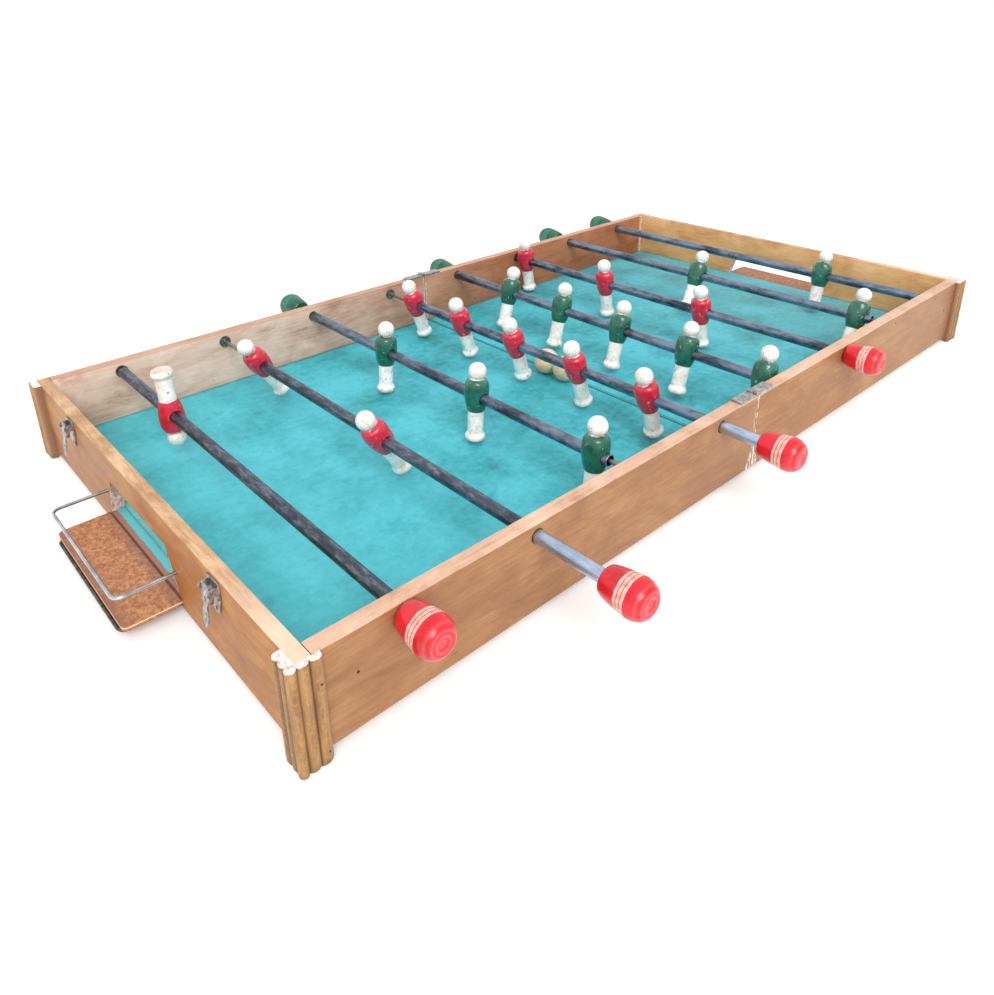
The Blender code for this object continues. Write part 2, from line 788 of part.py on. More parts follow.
plate_x = -end_out - CLEARANCE
pivot_x = -end_out - LATCH_PIVOT_OUT
pivot_z = RIM_HEIGHT - LATCH_PIVOT_DROP
ear_in = LEVER_WIDTH / 2 + CLEARANCE
for face, edge in FACES:
    y = face * LATCH_SPACING / 2
    plate = box(
        f"latch_plate_{edge}",
        (plate_x, y - LATCH_PLATE_WIDTH / 2, RIM_HEIGHT - LATCH_TOP_GAP - LATCH_PLATE_HEIGHT),
        (plate_x - LATCH_PLATE_THICKNESS, y + LATCH_PLATE_WIDTH / 2, RIM_HEIGHT - LATCH_TOP_GAP),
    )
    for end in (-1, 1):
        ear_low = y + end * ear_in
        ear_high = y + end * (ear_in + LATCH_EAR)
        shelf = box(
            f"latch_ear_{edge}_{end}",
            (plate_x - LATCH_PLATE_THICKNESS / 2, ear_low, pivot_z - LATCH_EAR_RADIUS),
            (pivot_x, ear_high, pivot_z + LATCH_EAR_RADIUS),
        )
        join(plate, shelf)
        nose = cylinder(
            f"latch_nose_{edge}_{end}",
            LATCH_EAR_RADIUS * 0.99,
            (pivot_x, ear_low + end * LATCH_EAR * 0.02, pivot_z),
            (pivot_x, ear_high - end * LATCH_EAR * 0.02, pivot_z),
            BARREL_SIDES,
        )
        join(plate, nose)
    eye = cylinder(
        f"latch_eye_{edge}",
        LATCH_PIN_RADIUS + CLEARANCE,
        (pivot_x, y - LATCH_PLATE_WIDTH, pivot_z),
        (pivot_x, y + LATCH_PLATE_WIDTH, pivot_z),
        PIN_SIDES,
    )
    cut(plate, eye)
    finish(plate, IRONMONGERY)

    lever = flat(f"latch_lever_{edge}", lever_outline(), LEVER_THICKNESS)
    bpy.context.view_layer.update()
    lever.data.transform(Matrix.Rotation(-math.pi / 2, 4, "Z") @ Matrix.Rotation(math.pi / 2, 4, "X"))
    lever.location = (pivot_x, y, pivot_z)
    lever.rotation_euler = (0.0, math.radians(LEVER_LIFT_DEG), 0.0)
    turn_pin = cylinder(
        f"lever_pin_{edge}",
        LATCH_PIN_RADIUS,
        (0.0, -ear_in - LATCH_EAR, 0.0),
        (0.0, ear_in + LATCH_EAR, 0.0),
        PIN_SIDES,
    )
    join(lever, turn_pin)
    eyelet = cylinder(
        f"lever_hole_{edge}",
        LEVER_HOLE_RADIUS,
        (-LEVER_WIDTH, 0.0, -LEVER_HOLE_DROP),
        (LEVER_WIDTH, 0.0, -LEVER_HOLE_DROP),
        PIN_SIDES,
    )
    cut(lever, eyelet)
    finish(lever, IRONMONGERY)

# Balls, lying on the left half of the field
for number, (x, y) in enumerate(BALL_PLACES, start=1):
    shape = bmesh.new()
    bmesh.ops.create_uvsphere(shape, u_segments=14, v_segments=8, radius=BALL_RADIUS)
    ball = new_object(f"ball_{number}", mesh_from(f"ball_{number}", shape))
    ball.location = (x, y, BALL_RADIUS + CLEARANCE)
    finish(ball, BALL_WOOD, smooth=True)
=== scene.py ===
import math

import bmesh
import bpy
from mathutils import Matrix, Vector


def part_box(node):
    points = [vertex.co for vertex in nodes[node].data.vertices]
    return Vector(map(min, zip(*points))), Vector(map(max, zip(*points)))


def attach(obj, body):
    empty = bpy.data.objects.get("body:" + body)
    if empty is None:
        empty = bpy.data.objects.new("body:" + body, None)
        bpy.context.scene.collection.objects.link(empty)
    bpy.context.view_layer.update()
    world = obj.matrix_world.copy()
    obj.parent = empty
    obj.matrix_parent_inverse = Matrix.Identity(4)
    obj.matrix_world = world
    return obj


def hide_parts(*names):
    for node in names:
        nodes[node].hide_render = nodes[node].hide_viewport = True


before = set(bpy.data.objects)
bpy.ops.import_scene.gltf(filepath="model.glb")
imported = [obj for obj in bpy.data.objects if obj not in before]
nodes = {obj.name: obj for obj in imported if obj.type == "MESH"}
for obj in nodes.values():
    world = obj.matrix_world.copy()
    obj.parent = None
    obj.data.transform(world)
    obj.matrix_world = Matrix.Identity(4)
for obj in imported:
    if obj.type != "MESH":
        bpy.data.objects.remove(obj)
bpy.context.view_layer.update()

# Studio
# A pale sheet under the game, a bright even room, and one wide lamp above it.
# The camera stands at the near left corner, a little above the rims, as in the photograph.
ground_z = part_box("end_wall_left")[0].z
bpy.ops.mesh.primitive_plane_add(size=60.0, location=(0.0, 0.0, ground_z))
ground = bpy.context.object
ground.name = "studio_floor"
ground_paint = bpy.data.materials.new("studio_floor")
ground_paint.use_nodes = True
ground_shader = ground_paint.node_tree.nodes["Principled BSDF"]
ground_shader.inputs["Base Color"].default_value = (0.93, 0.93, 0.93, 1.0)
ground_shader.inputs["Roughness"].default_value = 0.9
ground_shader.inputs["Emission Color"].default_value = (1.0, 1.0, 1.0, 1.0)
ground_shader.inputs["Emission Strength"].default_value = 0.10
ground.data.materials.append(ground_paint)

room = bpy.data.worlds.new("studio_room")
bpy.context.scene.world = room
room.use_nodes = True
room.node_tree.nodes["Background"].inputs["Color"].default_value = (1.0, 1.0, 1.0, 1.0)
room.node_tree.nodes["Background"].inputs["Strength"].default_value = 1.0

lamp_data = bpy.data.lights.new("wide_lamp", "SUN")
lamp_data.energy = 1.9
lamp_data.angle = math.radians(32)
lamp = bpy.data.objects.new("wide_lamp", lamp_data)
bpy.context.scene.collection.objects.link(lamp)
lamp.location = (-0.9, -1.6, 1.7)
lamp.rotation_euler = (Vector((0.0, 0.0, 0.0)) - lamp.location).to_track_quat("-Z", "Y").to_euler()

eye_data = bpy.data.cameras.new("photo_eye")
eye = bpy.data.objects.new("photo_eye", eye_data)
bpy.context.scene.collection.objects.link(eye)
turn = Vector((1.85096, -0.7185, 0.45511))
looking = Matrix.Rotation(turn.length, 3, turn.normalized())
eye.matrix_world = Matrix.Translation((-0.6985, -0.6577, 0.4441)) @ Matrix(
    (
        (looking[0][0], -looking[1][0], -looking[2][0]),
        (looking[0][1], -looking[1][1], -looking[2][1]),
        (looking[0][2], -looking[1][2], -looking[2][2]),
    )
).to_4x4()
picture_wide = 994
picture_high = 995
focal_pixels = 809.64
centre_across = 482.39
centre_down = 334.51
film = 36.0
eye_data.sensor_fit = "VERTICAL"
eye_data.sensor_height = film
eye_data.sensor_width = film
eye_data.lens = focal_pixels / picture_high * film
eye_data.shift_x = (picture_wide / 2 - centre_across) / picture_high
eye_data.shift_y = (centre_down - picture_high / 2) / picture_high
eye_data.clip_start = 0.01
bpy.context.scene.camera = eye
bpy.context.scene.view_settings.view_transform = "Standard"


# Side walls
# Four planed boards of a pale hardwood, the near and the far wall each sawn in two at the fold.
# Varnished outside, bare and grey inside, with the varnish rubbed off along the rims.
def paint(red, green, blue):
    """A colour as it is seen on a screen, as the light that a surface gives back."""
    light = []
    for value in (red, green, blue):
        share = value / 255
        light.append(share / 12.92 if share < 0.04045 else ((share + 0.055) / 1.055) ** 2.4)
    return (*light, 1.0)


class Finish:
    """A finish in the making: each method adds one step and gives its result."""

    def __init__(self, name, roughness=0.5, metallic=0.0):
        self.made = bpy.data.materials.new(name)
        self.made.use_nodes = True
        self.tree = self.made.node_tree
        self.surface = self.tree.nodes["Principled BSDF"]
        self.surface.inputs["Roughness"].default_value = roughness
        self.surface.inputs["Metallic"].default_value = metallic
        self.place = self.step("TexCoord", {}).outputs["Object"]

    def step(self, kind, inputs, **settings):
        node = self.tree.nodes.new("ShaderNode" + kind)
        for key, value in settings.items():
            setattr(node, key, value)
        for key, value in inputs.items():
            if isinstance(value, bpy.types.NodeSocket):
                self.tree.links.new(value, node.inputs[key])
            else:
                node.inputs[key].default_value = value
        return node

    def along(self, axis):
        return self.step("SeparateXYZ", {"Vector": self.place}).outputs[axis]

    def sum(self, how, first, second=0.0, clamp=False):
        return self.step("Math", {0: first, 1: second}, operation=how, use_clamp=clamp).outputs[0]

    def times(self, first, second):
        return self.sum("MULTIPLY", first, second)

    def plus(self, first, second):
        return self.sum("ADD", first, second)

    def away(self, axis):
        """How far from the middle of the game, along one axis."""
        return self.sum("ABSOLUTE", self.along(axis))

    def own(self):
        """The place on the surface, shifted by a chance amount for each piece."""
        chance = self.step("ObjectInfo", {}).outputs["Random"]
        shift = self.times(chance, 7.3)
        return self.step("VectorMath", {0: self.place, 1: shift}, operation="ADD").outputs[0]

    def cloud(self, size, detail=4.0, rough=0.6, stretch=(1, 1, 1), twist=0.0, place=None):
        """Soft patches about size metres wide, drawn out by stretch."""
        scale = tuple(1.0 / (size * part) for part in stretch)
        start = self.place if place is None else place
        spread = self.step("Mapping", {"Vector": start, "Scale": scale}).outputs[0]
        inputs = {"Vector": spread, "Scale": 1.0, "Detail": detail}
        inputs |= {"Roughness": rough, "Distortion": twist}
        return self.step("TexNoise", inputs).outputs[0]

    def band(self, value, low, high):
        """From 0 at low to 1 at high, with a soft start and end."""
        inputs = {"Value": value, "From Min": low, "From Max": high}
        made = self.step("MapRange", inputs, interpolation_type="SMOOTHSTEP", clamp=True)
        return made.outputs[0]

    def mix(self, share, first, second, how="MIX"):
        inputs = {"Factor": share, 6: first, 7: second}
        return self.step("Mix", inputs, data_type="RGBA", blend_type=how).outputs[2]

    def over(self, colour, mask, strength, second):
        """The colour, with a second one laid over it where the mask is."""
        return self.mix(self.times(mask, strength), colour, paint(*second))

    def tones(self, value, *stops):
        """Colours along a value, each stop with its place there."""
        ramp = self.step("ValToRGB", {"Fac": value})
        colours = ramp.color_ramp.elements
        while len(colours) < len(stops):
            colours.new(0.5)
        for mark, (at, colour) in zip(colours, stops):
            mark.position = at
            mark.color = paint(*colour)
        return ramp.outputs["Color"]

    def close(self, colour, roughness=None, bump=None, depth=0.0003):
        self.tree.links.new(colour, self.surface.inputs["Base Color"])
        if roughness is not None:
            self.tree.links.new(roughness, self.surface.inputs["Roughness"])
        if bump is not None:
            inputs = {"Height": bump, "Distance": depth, "Strength": 1.0}
            made = self.step("Bump", inputs)
            self.tree.links.new(made.outputs["Normal"], self.surface.inputs["Normal"])
        return self.made


rim_z = 0.068
wall_low = -0.016
wall_out = 0.285
wall_in = 0.271
wall_end = 0.5217
seam_gap = 0.00015
edge_round = 0.0009
rod_z = 0.0564
rod_pitch = 0.128
hole_radius = 0.0066
red_rods = (1, 2, 4, 6)


def rod_x(number):
    return (number - 4.5) * rod_pitch


def handle_side(number):
    """Which way a rod's handle points: -1 to the near side, 1 to the far side."""
    return -1 if number in red_rods else 1


def mesh_of(name, shape):
    """The mesh of a shape that is ready, its faces turned outwards."""
    bmesh.ops.recalc_face_normals(shape, faces=shape.faces)
    mesh = bpy.data.meshes.new(name)
    shape.to_mesh(mesh)
    shape.free()
    return mesh


def shown(name, mesh, look):
    """A piece in its finish, smooth but for its sharp edges."""
    mesh.materials.clear()
    mesh.materials.append(look)
    mesh.shade_smooth()
    mesh.set_sharp_from_angle(angle=math.radians(38))
    piece = bpy.data.objects.new(name, mesh)
    bpy.context.scene.collection.objects.link(piece)
    return piece


def block(low, high, soft):
    """A block with its edges rounded over."""
    shape = bmesh.new()
    bmesh.ops.create_cube(shape, size=1.0)
    size = [abs(b - a) for a, b in zip(low, high)]
    middle = [(a + b) / 2 for a, b in zip(low, high)]
    bmesh.ops.scale(shape, vec=size, verts=shape.verts)
    bmesh.ops.translate(shape, vec=middle, verts=shape.verts)
    edges = shape.edges[:]
    bmesh.ops.bevel(shape, geom=edges, offset=soft, segments=2, profile=0.6, affect="EDGES")
    return shape


def bar(radius, start, end, sides=24):
    """A round bar between two points."""
    shape = bmesh.new()
    run = Vector(end) - Vector(start)
    bmesh.ops.create_cone(
        shape, cap_ends=True, segments=sides, radius1=radius, radius2=radius, depth=run.length
    )
    turned = run.to_track_quat("Z", "Y").to_matrix().to_4x4()
    placed = Matrix.Translation((Vector(start) + Vector(end)) / 2) @ turned
    bmesh.ops.transform(shape, matrix=placed, verts=shape.verts)
    return shape


def carved(name, blank, cutters):
    """The blank with each cutter taken out of it, as a plain mesh."""
    body = bpy.data.objects.new(name + "_blank", mesh_of(name, blank))
    bpy.context.scene.collection.objects.link(body)
    made = []
    for number, cutter in enumerate(cutters):
        tool = bpy.data.objects.new(f"{name}_tool_{number}", mesh_of(f"{name}_tool_{number}", cutter))
        bpy.context.scene.collection.objects.link(tool)
        step = body.modifiers.new("carve", "BOOLEAN")
        step.operation = "DIFFERENCE"
        step.solver = "EXACT"
        step.object = tool
        made.append(tool)
    bpy.context.view_layer.update()
    mesh = bpy.data.meshes.new_from_object(body.evaluated_get(bpy.context.evaluated_depsgraph_get()))
    for spent in (body, *made):
        bpy.data.objects.remove(spent)
    return mesh


def board_wood(name, grain_along, across, middle, outside, inside, rim):
    """Wood with grain along one axis, its outer face, inner face and rim in their own tones."""
    wood = Finish(name, 0.5)
    pull = (12, 1, 1) if grain_along == "X" else (1, 12, 1)
    lines = wood.cloud(0.0014, 5.0, 0.6, pull, 0.3)
    flames = wood.cloud(0.007, 5.0, 0.6, pull, 1.4)
    patches = wood.cloud(0.035, 6.0, 0.66, (2, 2, 1), 0.6)
    grain = wood.plus(wood.times(lines, 0.22), wood.times(flames, 0.20))
    grain = wood.plus(grain, wood.times(patches, 0.58))
    out_side = wood.tones(grain, (0.36, outside[0]), (0.5, outside[1]), (0.64, outside[2]))
    in_side = wood.tones(grain, (0.36, inside[0]), (0.5, inside[1]), (0.64, inside[2]))
    depth = wood.away(across)
    face = wood.mix(wood.band(depth, middle - 0.001, middle + 0.001), in_side, out_side)
    knots = wood.cloud(0.011, 3.0, 0.5, (1.6, 1.6, 1))
    face = wood.over(face, wood.band(knots, 0.70, 0.80), 0.5, (112, 70, 44))
    rim_wood = wood.tones(grain, (0.36, rim[0]), (0.47, rim[1]), (0.60, rim[2]))
    rub = wood.cloud(0.006, 5.0, 0.7, pull)
    height = wood.plus(wood.along("Z"), wood.times(rub, 0.003))
    colour = wood.mix(wood.band(height, rim_z - 0.0002, rim_z + 0.0014), face, rim_wood)
    specks = wood.cloud(0.0024, 3.0, 0.6)
    dirt = wood.band(specks, 0.70, 0.78)
    colour = wood.over(colour, dirt, 0.5, (96, 62, 44))
    gloss = wood.plus(wood.times(patches, 0.4), 0.28)
    return wood, colour, gloss, lines


side_wood, colour, gloss, lines = board_wood(
    "side_wall_wood",
    "X",
    "Y",
    (wall_out + wall_in) / 2,
    ((132, 84, 48), (153, 105, 63), (174, 130, 86)),
    ((180, 136, 110), (216, 182, 162), (234, 208, 192)),
    ((178, 126, 94), (208, 166, 138), (226, 190, 166)),
)
within = side_wood.band(side_wood.away("Y"), wall_in + 0.001, wall_in)
toward_right = side_wood.times(side_wood.band(side_wood.along("X"), -0.32, 0.18), within)
colour = side_wood.mix(toward_right, colour, paint(202, 150, 114), "MULTIPLY")
to_far = side_wood.band(side_wood.along("Y"), -0.1, 0.1)
on_rim = side_wood.band(side_wood.along("Z"), rim_z - 0.0012, rim_z - 0.0004)
colour = side_wood.mix(side_wood.times(to_far, on_rim), colour, paint(226, 216, 208), "MULTIPLY")
seam_run = side_wood.away("X")
bare_corner = side_wood.times(side_wood.band(seam_run, wall_end - 0.010, wall_end - 0.004), within)
bare_corner = side_wood.times(bare_corner, side_wood.band(side_wood.cloud(0.008, 5.0, 0.7), 0.38, 0.55))
colour = side_wood.over(colour, bare_corner, 0.75, (238, 222, 210))
flake = side_wood.cloud(0.0022, 4.0, 0.7, (1, 1, 3))
low_down = side_wood.band(side_wood.along("Z"), 0.010, wall_low)
reach = side_wood.plus(side_wood.times(low_down, 0.016), 0.0045)
near_seam = side_wood.band(side_wood.sum("DIVIDE", seam_run, reach), 1.0, 0.3)
chipped = side_wood.band(side_wood.plus(flake, side_wood.times(near_seam, 0.22)), 0.70, 0.74)
colour = side_wood.mix(side_wood.times(chipped, near_seam), colour, paint(222, 204, 196))
colour = side_wood.mix(side_wood.band(seam_run, 0.0009, 0.0003), colour, paint(84, 54, 40))
facing = side_wood.step("TexCoord", {}).outputs["Normal"]
turned_to = side_wood.step("SeparateXYZ", {"Vector": facing}).outputs["X"]
pores = side_wood.cloud(0.0012, 5.0, 0.7, (1, 1, 3))
end_grain = side_wood.tones(pores, (0.36, (104, 70, 48)), (0.5, (146, 106, 76)), (0.66, (186, 148, 116)))
sawn = side_wood.band(side_wood.sum("ABSOLUTE", turned_to), 0.75, 0.95)
colour = side_wood.mix(sawn, colour, end_grain)
side_wood.close(colour, gloss, lines, 0.00012)

hole_from = 0.25
hole_to = 0.31
for half, side in (("left", -1), ("right", 1)):
    for edge, face in (("near", -1), ("far", 1)):
        low = (side * seam_gap, face * wall_in, wall_low)
        high = (side * wall_end, face * wall_out, rim_z)
        holes = []
        for number in range(1, 9):
            x = rod_x(number)
            if x * side > 0 and handle_side(number) == face:
                start, end = (x, face * hole_from, rod_z), (x, face * hole_to, rod_z)
                holes.append(bar(hole_radius, start, end, 32))
        name = f"side_wall_{edge}_{half}"
        mesh = carved(name, block(low, high, edge_round), holes)
        wall = shown(name + "_board", mesh, side_wood.made)
        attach(wall, f"{half}_half")
        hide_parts(name)


# Guide pins
# A thin steel pin with a round flange, fixed in the wall opposite each handle.
# The rod's tube slides on it, so the pin is a little longer than the rod's travel.
pin_radius = 0.0023
pin_spare = 0.028
flange_radius = 0.0072
flange_thick = 0.002
flange_sunk = 0.002
flange_round = 0.0006
travels = {1: 0.250, 2: 0.255, 3: 0.170, 5: 0.103}
figure_counts = (1, 2, 3, 5, 5, 3, 2, 1)
pin_steel = Finish("guide_pin_steel", 0.38, 1.0)
stain = pin_steel.cloud(0.004, 5.0, 0.7)
pin_steel.close(pin_steel.tones(stain, (0.35, (104, 99, 96)), (0.7, (178, 175, 172))))


def joined(first, *others):
    """Several shapes as one."""
    for other in others:
        spare = bpy.data.meshes.new("spare")
        other.to_mesh(spare)
        other.free()
        first.from_mesh(spare)
        bpy.data.meshes.remove(spare)
    return first


for number in range(1, 9):
    x = rod_x(number)
    face = -handle_side(number)
    tip = wall_in - travels[figure_counts[number - 1]] - pin_spare
    shape = bar(pin_radius, (x, face * wall_in, rod_z), (x, face * tip, rod_z), 16)
    back = (x, face * (wall_in + flange_sunk), rod_z)
    cup = bar(flange_radius, back, (x, face * (wall_in - flange_thick), rod_z), 28)
    edges = [e for e in cup.edges if len(e.link_faces) == 2 and e.calc_face_angle(0) > 1]
    bmesh.ops.bevel(cup, geom=edges, offset=flange_round, segments=2, affect="EDGES")
    name = f"rod_{number}_guide_pin"
    pin = shown(name, mesh_of(name, joined(shape, cup)), pin_steel.made)
    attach(pin, "left_half" if x < 0 else "right_half")


# End walls
# A board across each end, with a goal opening whose ends slope outwards to the sill.
# The cut ends were left raw, and the field's paint runs out over the sill.
end_out = 0.534
end_in = 0.522
goal_top = 0.038
goal_sill = -0.003
goal_top_half = 0.066
goal_sill_half = 0.080
end_wood, colour, gloss, lines = board_wood(
    "end_wall_wood",
    "Y",
    "X",
    (end_out + end_in) / 2,
    ((124, 70, 26), (158, 100, 44), (184, 132, 68)),
    ((198, 138, 82), (226, 170, 112), (240, 194, 142)),
    ((144, 98, 60), (182, 136, 94), (220, 182, 144)),
)
splinter = end_wood.cloud(0.0035, 5.0, 0.7, (1, 1, 2))
height = end_wood.along("Z")
on_rim = end_wood.band(height, rim_z - 0.0012, rim_z - 0.0004)
to_near = end_wood.times(end_wood.band(end_wood.along("Y"), -0.14, -0.27), on_rim)
colour = end_wood.over(colour, to_near, 0.7, (240, 212, 188))
slope = (goal_sill_half - goal_top_half) / (goal_top - goal_sill)
jamb = end_wood.plus(end_wood.away("Y"), end_wood.times(height, slope))
jamb_at = goal_sill_half + goal_sill * slope
jamb = end_wood.sum("SUBTRACT", jamb, end_wood.times(splinter, 0.004))
raw = end_wood.band(jamb, jamb_at - 0.0004, jamb_at - 0.0016)
raw = end_wood.times(raw, end_wood.band(height, goal_top + 0.001, goal_top))
raw = end_wood.times(raw, end_wood.band(height, goal_sill - 0.0012, goal_sill - 0.0004))
raw_tones = (0.38, (168, 126, 110)), (0.5, (206, 168, 154)), (0.62, (238, 218, 212))
raw_wood = end_wood.tones(splinter, *raw_tones)
raw_wood = end_wood.mix(end_wood.band(height, 0.012, goal_top), raw_wood, paint(150, 116, 92))
colour = end_wood.mix(raw, colour, raw_wood)
low = end_wood.band(height, goal_sill + 0.0012, goal_sill + 0.0004)
sill = end_wood.times(low, end_wood.band(end_wood.away("Y"), goal_sill_half + 0.001, goal_sill_half))
edge_run = end_wood.plus(end_wood.away("X"), end_wood.times(splinter, 0.004))
worn_edge = end_wood.band(edge_run, 0.5308, 0.5322)
sill_paint = end_wood.mix(worn_edge, paint(84, 180, 186), paint(150, 108, 94))
above_bottom = end_wood.band(height, goal_sill - 0.0016, goal_sill - 0.0008)
colour = end_wood.mix(end_wood.times(sill, above_bottom), colour, sill_paint)
end_wood.close(colour, gloss, lines, 0.00018)

goal_saw = 0.03
wire_hole = 0.0019
wire_hole_end = 0.526
wire_hole_start = 0.545
fence_half = 0.083
fence_z = 0.020
support_half = 0.082
support_z = -0.012
for half, side in (("left", -1), ("right", 1)):
    blank = block((side * end_in, -wall_out, wall_low), (side * end_out, wall_out, rim_z), edge_round)
    goal = bmesh.new()
    bmesh.ops.create_cube(goal, size=1.0)
    for corner in goal.verts:
        upper = corner.co.z > 0
        corner.co.x = side * ((end_in + end_out) / 2 + corner.co.x * goal_saw)
        corner.co.y *= 2 * (goal_top_half if upper else goal_sill_half)
        corner.co.z = goal_top if upper else goal_sill
    cutters = [goal]
    for y, z in ((fence_half, fence_z), (support_half, support_z)):
        for face in (1, -1):
            start, end = (side * wire_hole_end, face * y, z), (side * wire_hole_start, face * y, z)
            cutters.append(bar(wire_hole, start, end, 16))
    name = f"end_wall_{half}"
    wall = shown(name + "_board", carved(name, blank, cutters), end_wood.made)
    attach(wall, f"{half}_half")
    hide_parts(name)


# Corner posts
# A reeded moulding glued and nailed round each corner, two reeds on each leg and a rounder tip.
# It reaches below the walls as the game's feet; its sawn top is bare and whitish.
post_leg = 0.018
post_end_back = 0.0046
post_side_back = 0.0022
post_top = 0.0675
post_bottom = -0.023
reed_high = 0.0034
tip_radius = 0.0038
reed_steps = 10


def reed_run(start, end, back):
    points = []
    width = (end - start) / 2
    for middle in (start + width / 2, end - width / 2):
        for step in range(reed_steps):
            angle = math.pi * (1 - (step + 0.15) / reed_steps)
            points.append((middle + width / 2 * math.cos(angle), back + reed_high * math.sin(angle)))
    return points


end_leg = reed_run(-post_leg, post_side_back - tip_radius, post_end_back)
side_leg = reed_run(-post_leg, post_end_back - tip_radius, post_side_back)
outline = [(out, run) for run, out in end_leg]
for step in range(2 * reed_steps + 1):
    angle = math.radians(-75 + 240 * step / (2 * reed_steps))
    tip_out, tip_aside = tip_radius * math.cos(angle), tip_radius * math.sin(angle)
    outline.append((post_end_back + tip_out, post_side_back + tip_aside))
outline += reversed(side_leg)
outline += [(-post_leg, 0.0), (0.0, 0.0), (0.0, -post_leg)]

post_wood = Finish("corner_post_wood", 0.42)
lines = post_wood.cloud(0.0016, 6.0, 0.65, (1, 1, 16), 0.4)
flames = post_wood.cloud(0.012, 3.0, 0.5, (1, 1, 8), 1.0)
grain = post_wood.plus(post_wood.times(lines, 0.5), post_wood.times(flames, 0.5))
colour = post_wood.tones(grain, (0.36, (114, 76, 40)), (0.5, (144, 102, 55)), (0.64, (170, 126, 74)))
out_end = post_wood.sum("SUBTRACT", post_wood.away("X"), end_out + post_end_back)
out_side = post_wood.sum("SUBTRACT", post_wood.away("Y"), wall_out + post_side_back)
proud = post_wood.sum("MAXIMUM", out_end, out_side)
groove = post_wood.band(proud, 0.0022, 0.0008)
colour = post_wood.over(colour, groove, 0.7, (128, 98, 82))
rub = post_wood.cloud(0.004, 5.0, 0.7)
crest = post_wood.times(post_wood.band(proud, 0.0022, 0.0034), post_wood.band(rub, 0.45, 0.62))
colour = post_wood.over(colour, crest, 0.45, (188, 148, 96))
height = post_wood.plus(post_wood.along("Z"), post_wood.times(rub, 0.0022))
sawn = post_wood.band(height, post_top + 0.0002, post_top + 0.0012)
bare = post_wood.tones(rub, (0.30, (206, 178, 168)), (0.46, (230, 214, 208)), (0.68, (244, 236, 234)))
colour = post_wood.mix(sawn, colour, bare)
# The post is painted darker towards its foot.
darker_toward_foot = post_wood.band(post_wood.along("Z"), -0.012, post_bottom)
colour = post_wood.over(colour, darker_toward_foot, 0.45, (110, 78, 48))
post_wood.close(colour, post_wood.plus(post_wood.times(rub, 0.5), 0.2), lines, 0.00015)

nail_radius = 0.0013
nail_flat = 0.18
nail_proud = 0.0001
nail_sunk = 0.0003
nail_marks = ((0.490, 0.032), (0.447, 0.0600), (0.325, 0.0585))
reed_nails = (0.0457, -0.0123)
reed_nail_in = 0.0042
nail_iron = Finish("nail_iron", 0.6, 0.7)
nail_iron.close(nail_iron.tones(nail_iron.cloud(0.001), (0.35, (48, 34, 28)), (0.7, (104, 74, 56))))


def skin(shape, rings):
    """Faces from each ring of corners to the next."""
    for first, second in zip(rings, rings[1:]):
        for i in range(len(first)):
            j = (i + 1) % len(first)
            shape.faces.new((first[i], first[j], second[j], second[i]))


foot_round = 0.003
top_edge = 0.0005
top_share = 0.985
levels = [(post_top, top_share), (post_top - top_edge, 1.0), (post_bottom + foot_round, 1.0)]
for step in (1, 2, 3):
    angle = math.pi / 2 * step / 3
    shrink = foot_round / post_leg * (1 - math.cos(angle))
    levels.append((post_bottom + foot_round * (1 - math.sin(angle)), 1 - shrink))
for half, side in (("left", -1), ("right", 1)):
    for edge, face in (("near", -1), ("far", 1)):
        crest = (end_out - post_leg + reed_nail_in, wall_out + post_side_back + reed_high - nail_sunk)
        places = [(x, wall_out, z) for x, z in nail_marks] + [(*crest, z) for z in reed_nails]
        shape = bmesh.new()
        for x, y, z in places:
            head = bmesh.new()
            bmesh.ops.create_uvsphere(head, u_segments=12, v_segments=6, radius=nail_radius)
            bmesh.ops.scale(head, vec=(1.0, nail_flat, 1.0), verts=head.verts)
            bmesh.ops.translate(head, vec=(side * x, face * (y + nail_proud), z), verts=head.verts)
            shape = joined(shape, head)
        name = f"nails_{edge}_{half}"
        nails = shown(name, mesh_of(name, shape), nail_iron.made)
        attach(nails, f"{half}_half")

        shape = bmesh.new()
        rings = []
        for z, scale in levels:
            ring = [(side * (end_out + u * scale), face * (wall_out + v * scale), z) for u, v in outline]
            rings.append([shape.verts.new(place) for place in ring])
        skin(shape, rings)
        for ring in (rings[0], rings[-1]):
            inner = []
            for corner, (u, v) in zip(ring, outline):
                at = (side * (end_out + min(u, 0.0)), face * (wall_out + min(v, 0.0)), corner.co.z)
                inner.append(shape.verts.new(at))
            for i in range(len(outline) - 4):
                shape.faces.new((ring[i], ring[i + 1], inner[i + 1], inner[i]))
        bmesh.ops.dissolve_degenerate(shape, dist=0.00001, edges=shape.edges)
        name = f"corner_post_{half}_{edge}"
        post = shown(name, mesh_of(name, shape), post_wood.made)
        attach(post, f"{half}_half")


# Playing fields
# A plywood board in each half, set between the walls, painted turquoise on top and bare below.
# Play has rubbed and smudged it, grime has settled at the fold, and painted corner shade darkens it along
# the walls.
field_paint = Finish("field_paint", 0.5)
smudge = field_paint.cloud(0.09, 5.0, 0.58)
streak = field_paint.cloud(0.010, 5.0, 0.72)
fleck = field_paint.cloud(0.0026, 3.0, 0.6)
tone = field_paint.plus(field_paint.times(smudge, 0.66), field_paint.times(streak, 0.34))
colour = field_paint.tones(tone, (0.37, (36, 135, 142)), (0.47, (59, 167, 177)), (0.58, (83, 189, 203)))
stain = field_paint.cloud(0.045, 6.0, 0.7)
colour = field_paint.over(colour, field_paint.band(stain, 0.58, 0.72), 0.50, (46, 120, 118))
x_away = field_paint.away("X")
y_away = field_paint.away("Y")
wander = field_paint.times(field_paint.cloud(0.03, 4.0, 0.6), 0.016)
# Painted corner shade: a soft dark band along the side walls, and along the end walls beside the goal.
wall_corner_shade = field_paint.band(field_paint.plus(y_away, wander), wall_in - 0.001, wall_in + 0.010)
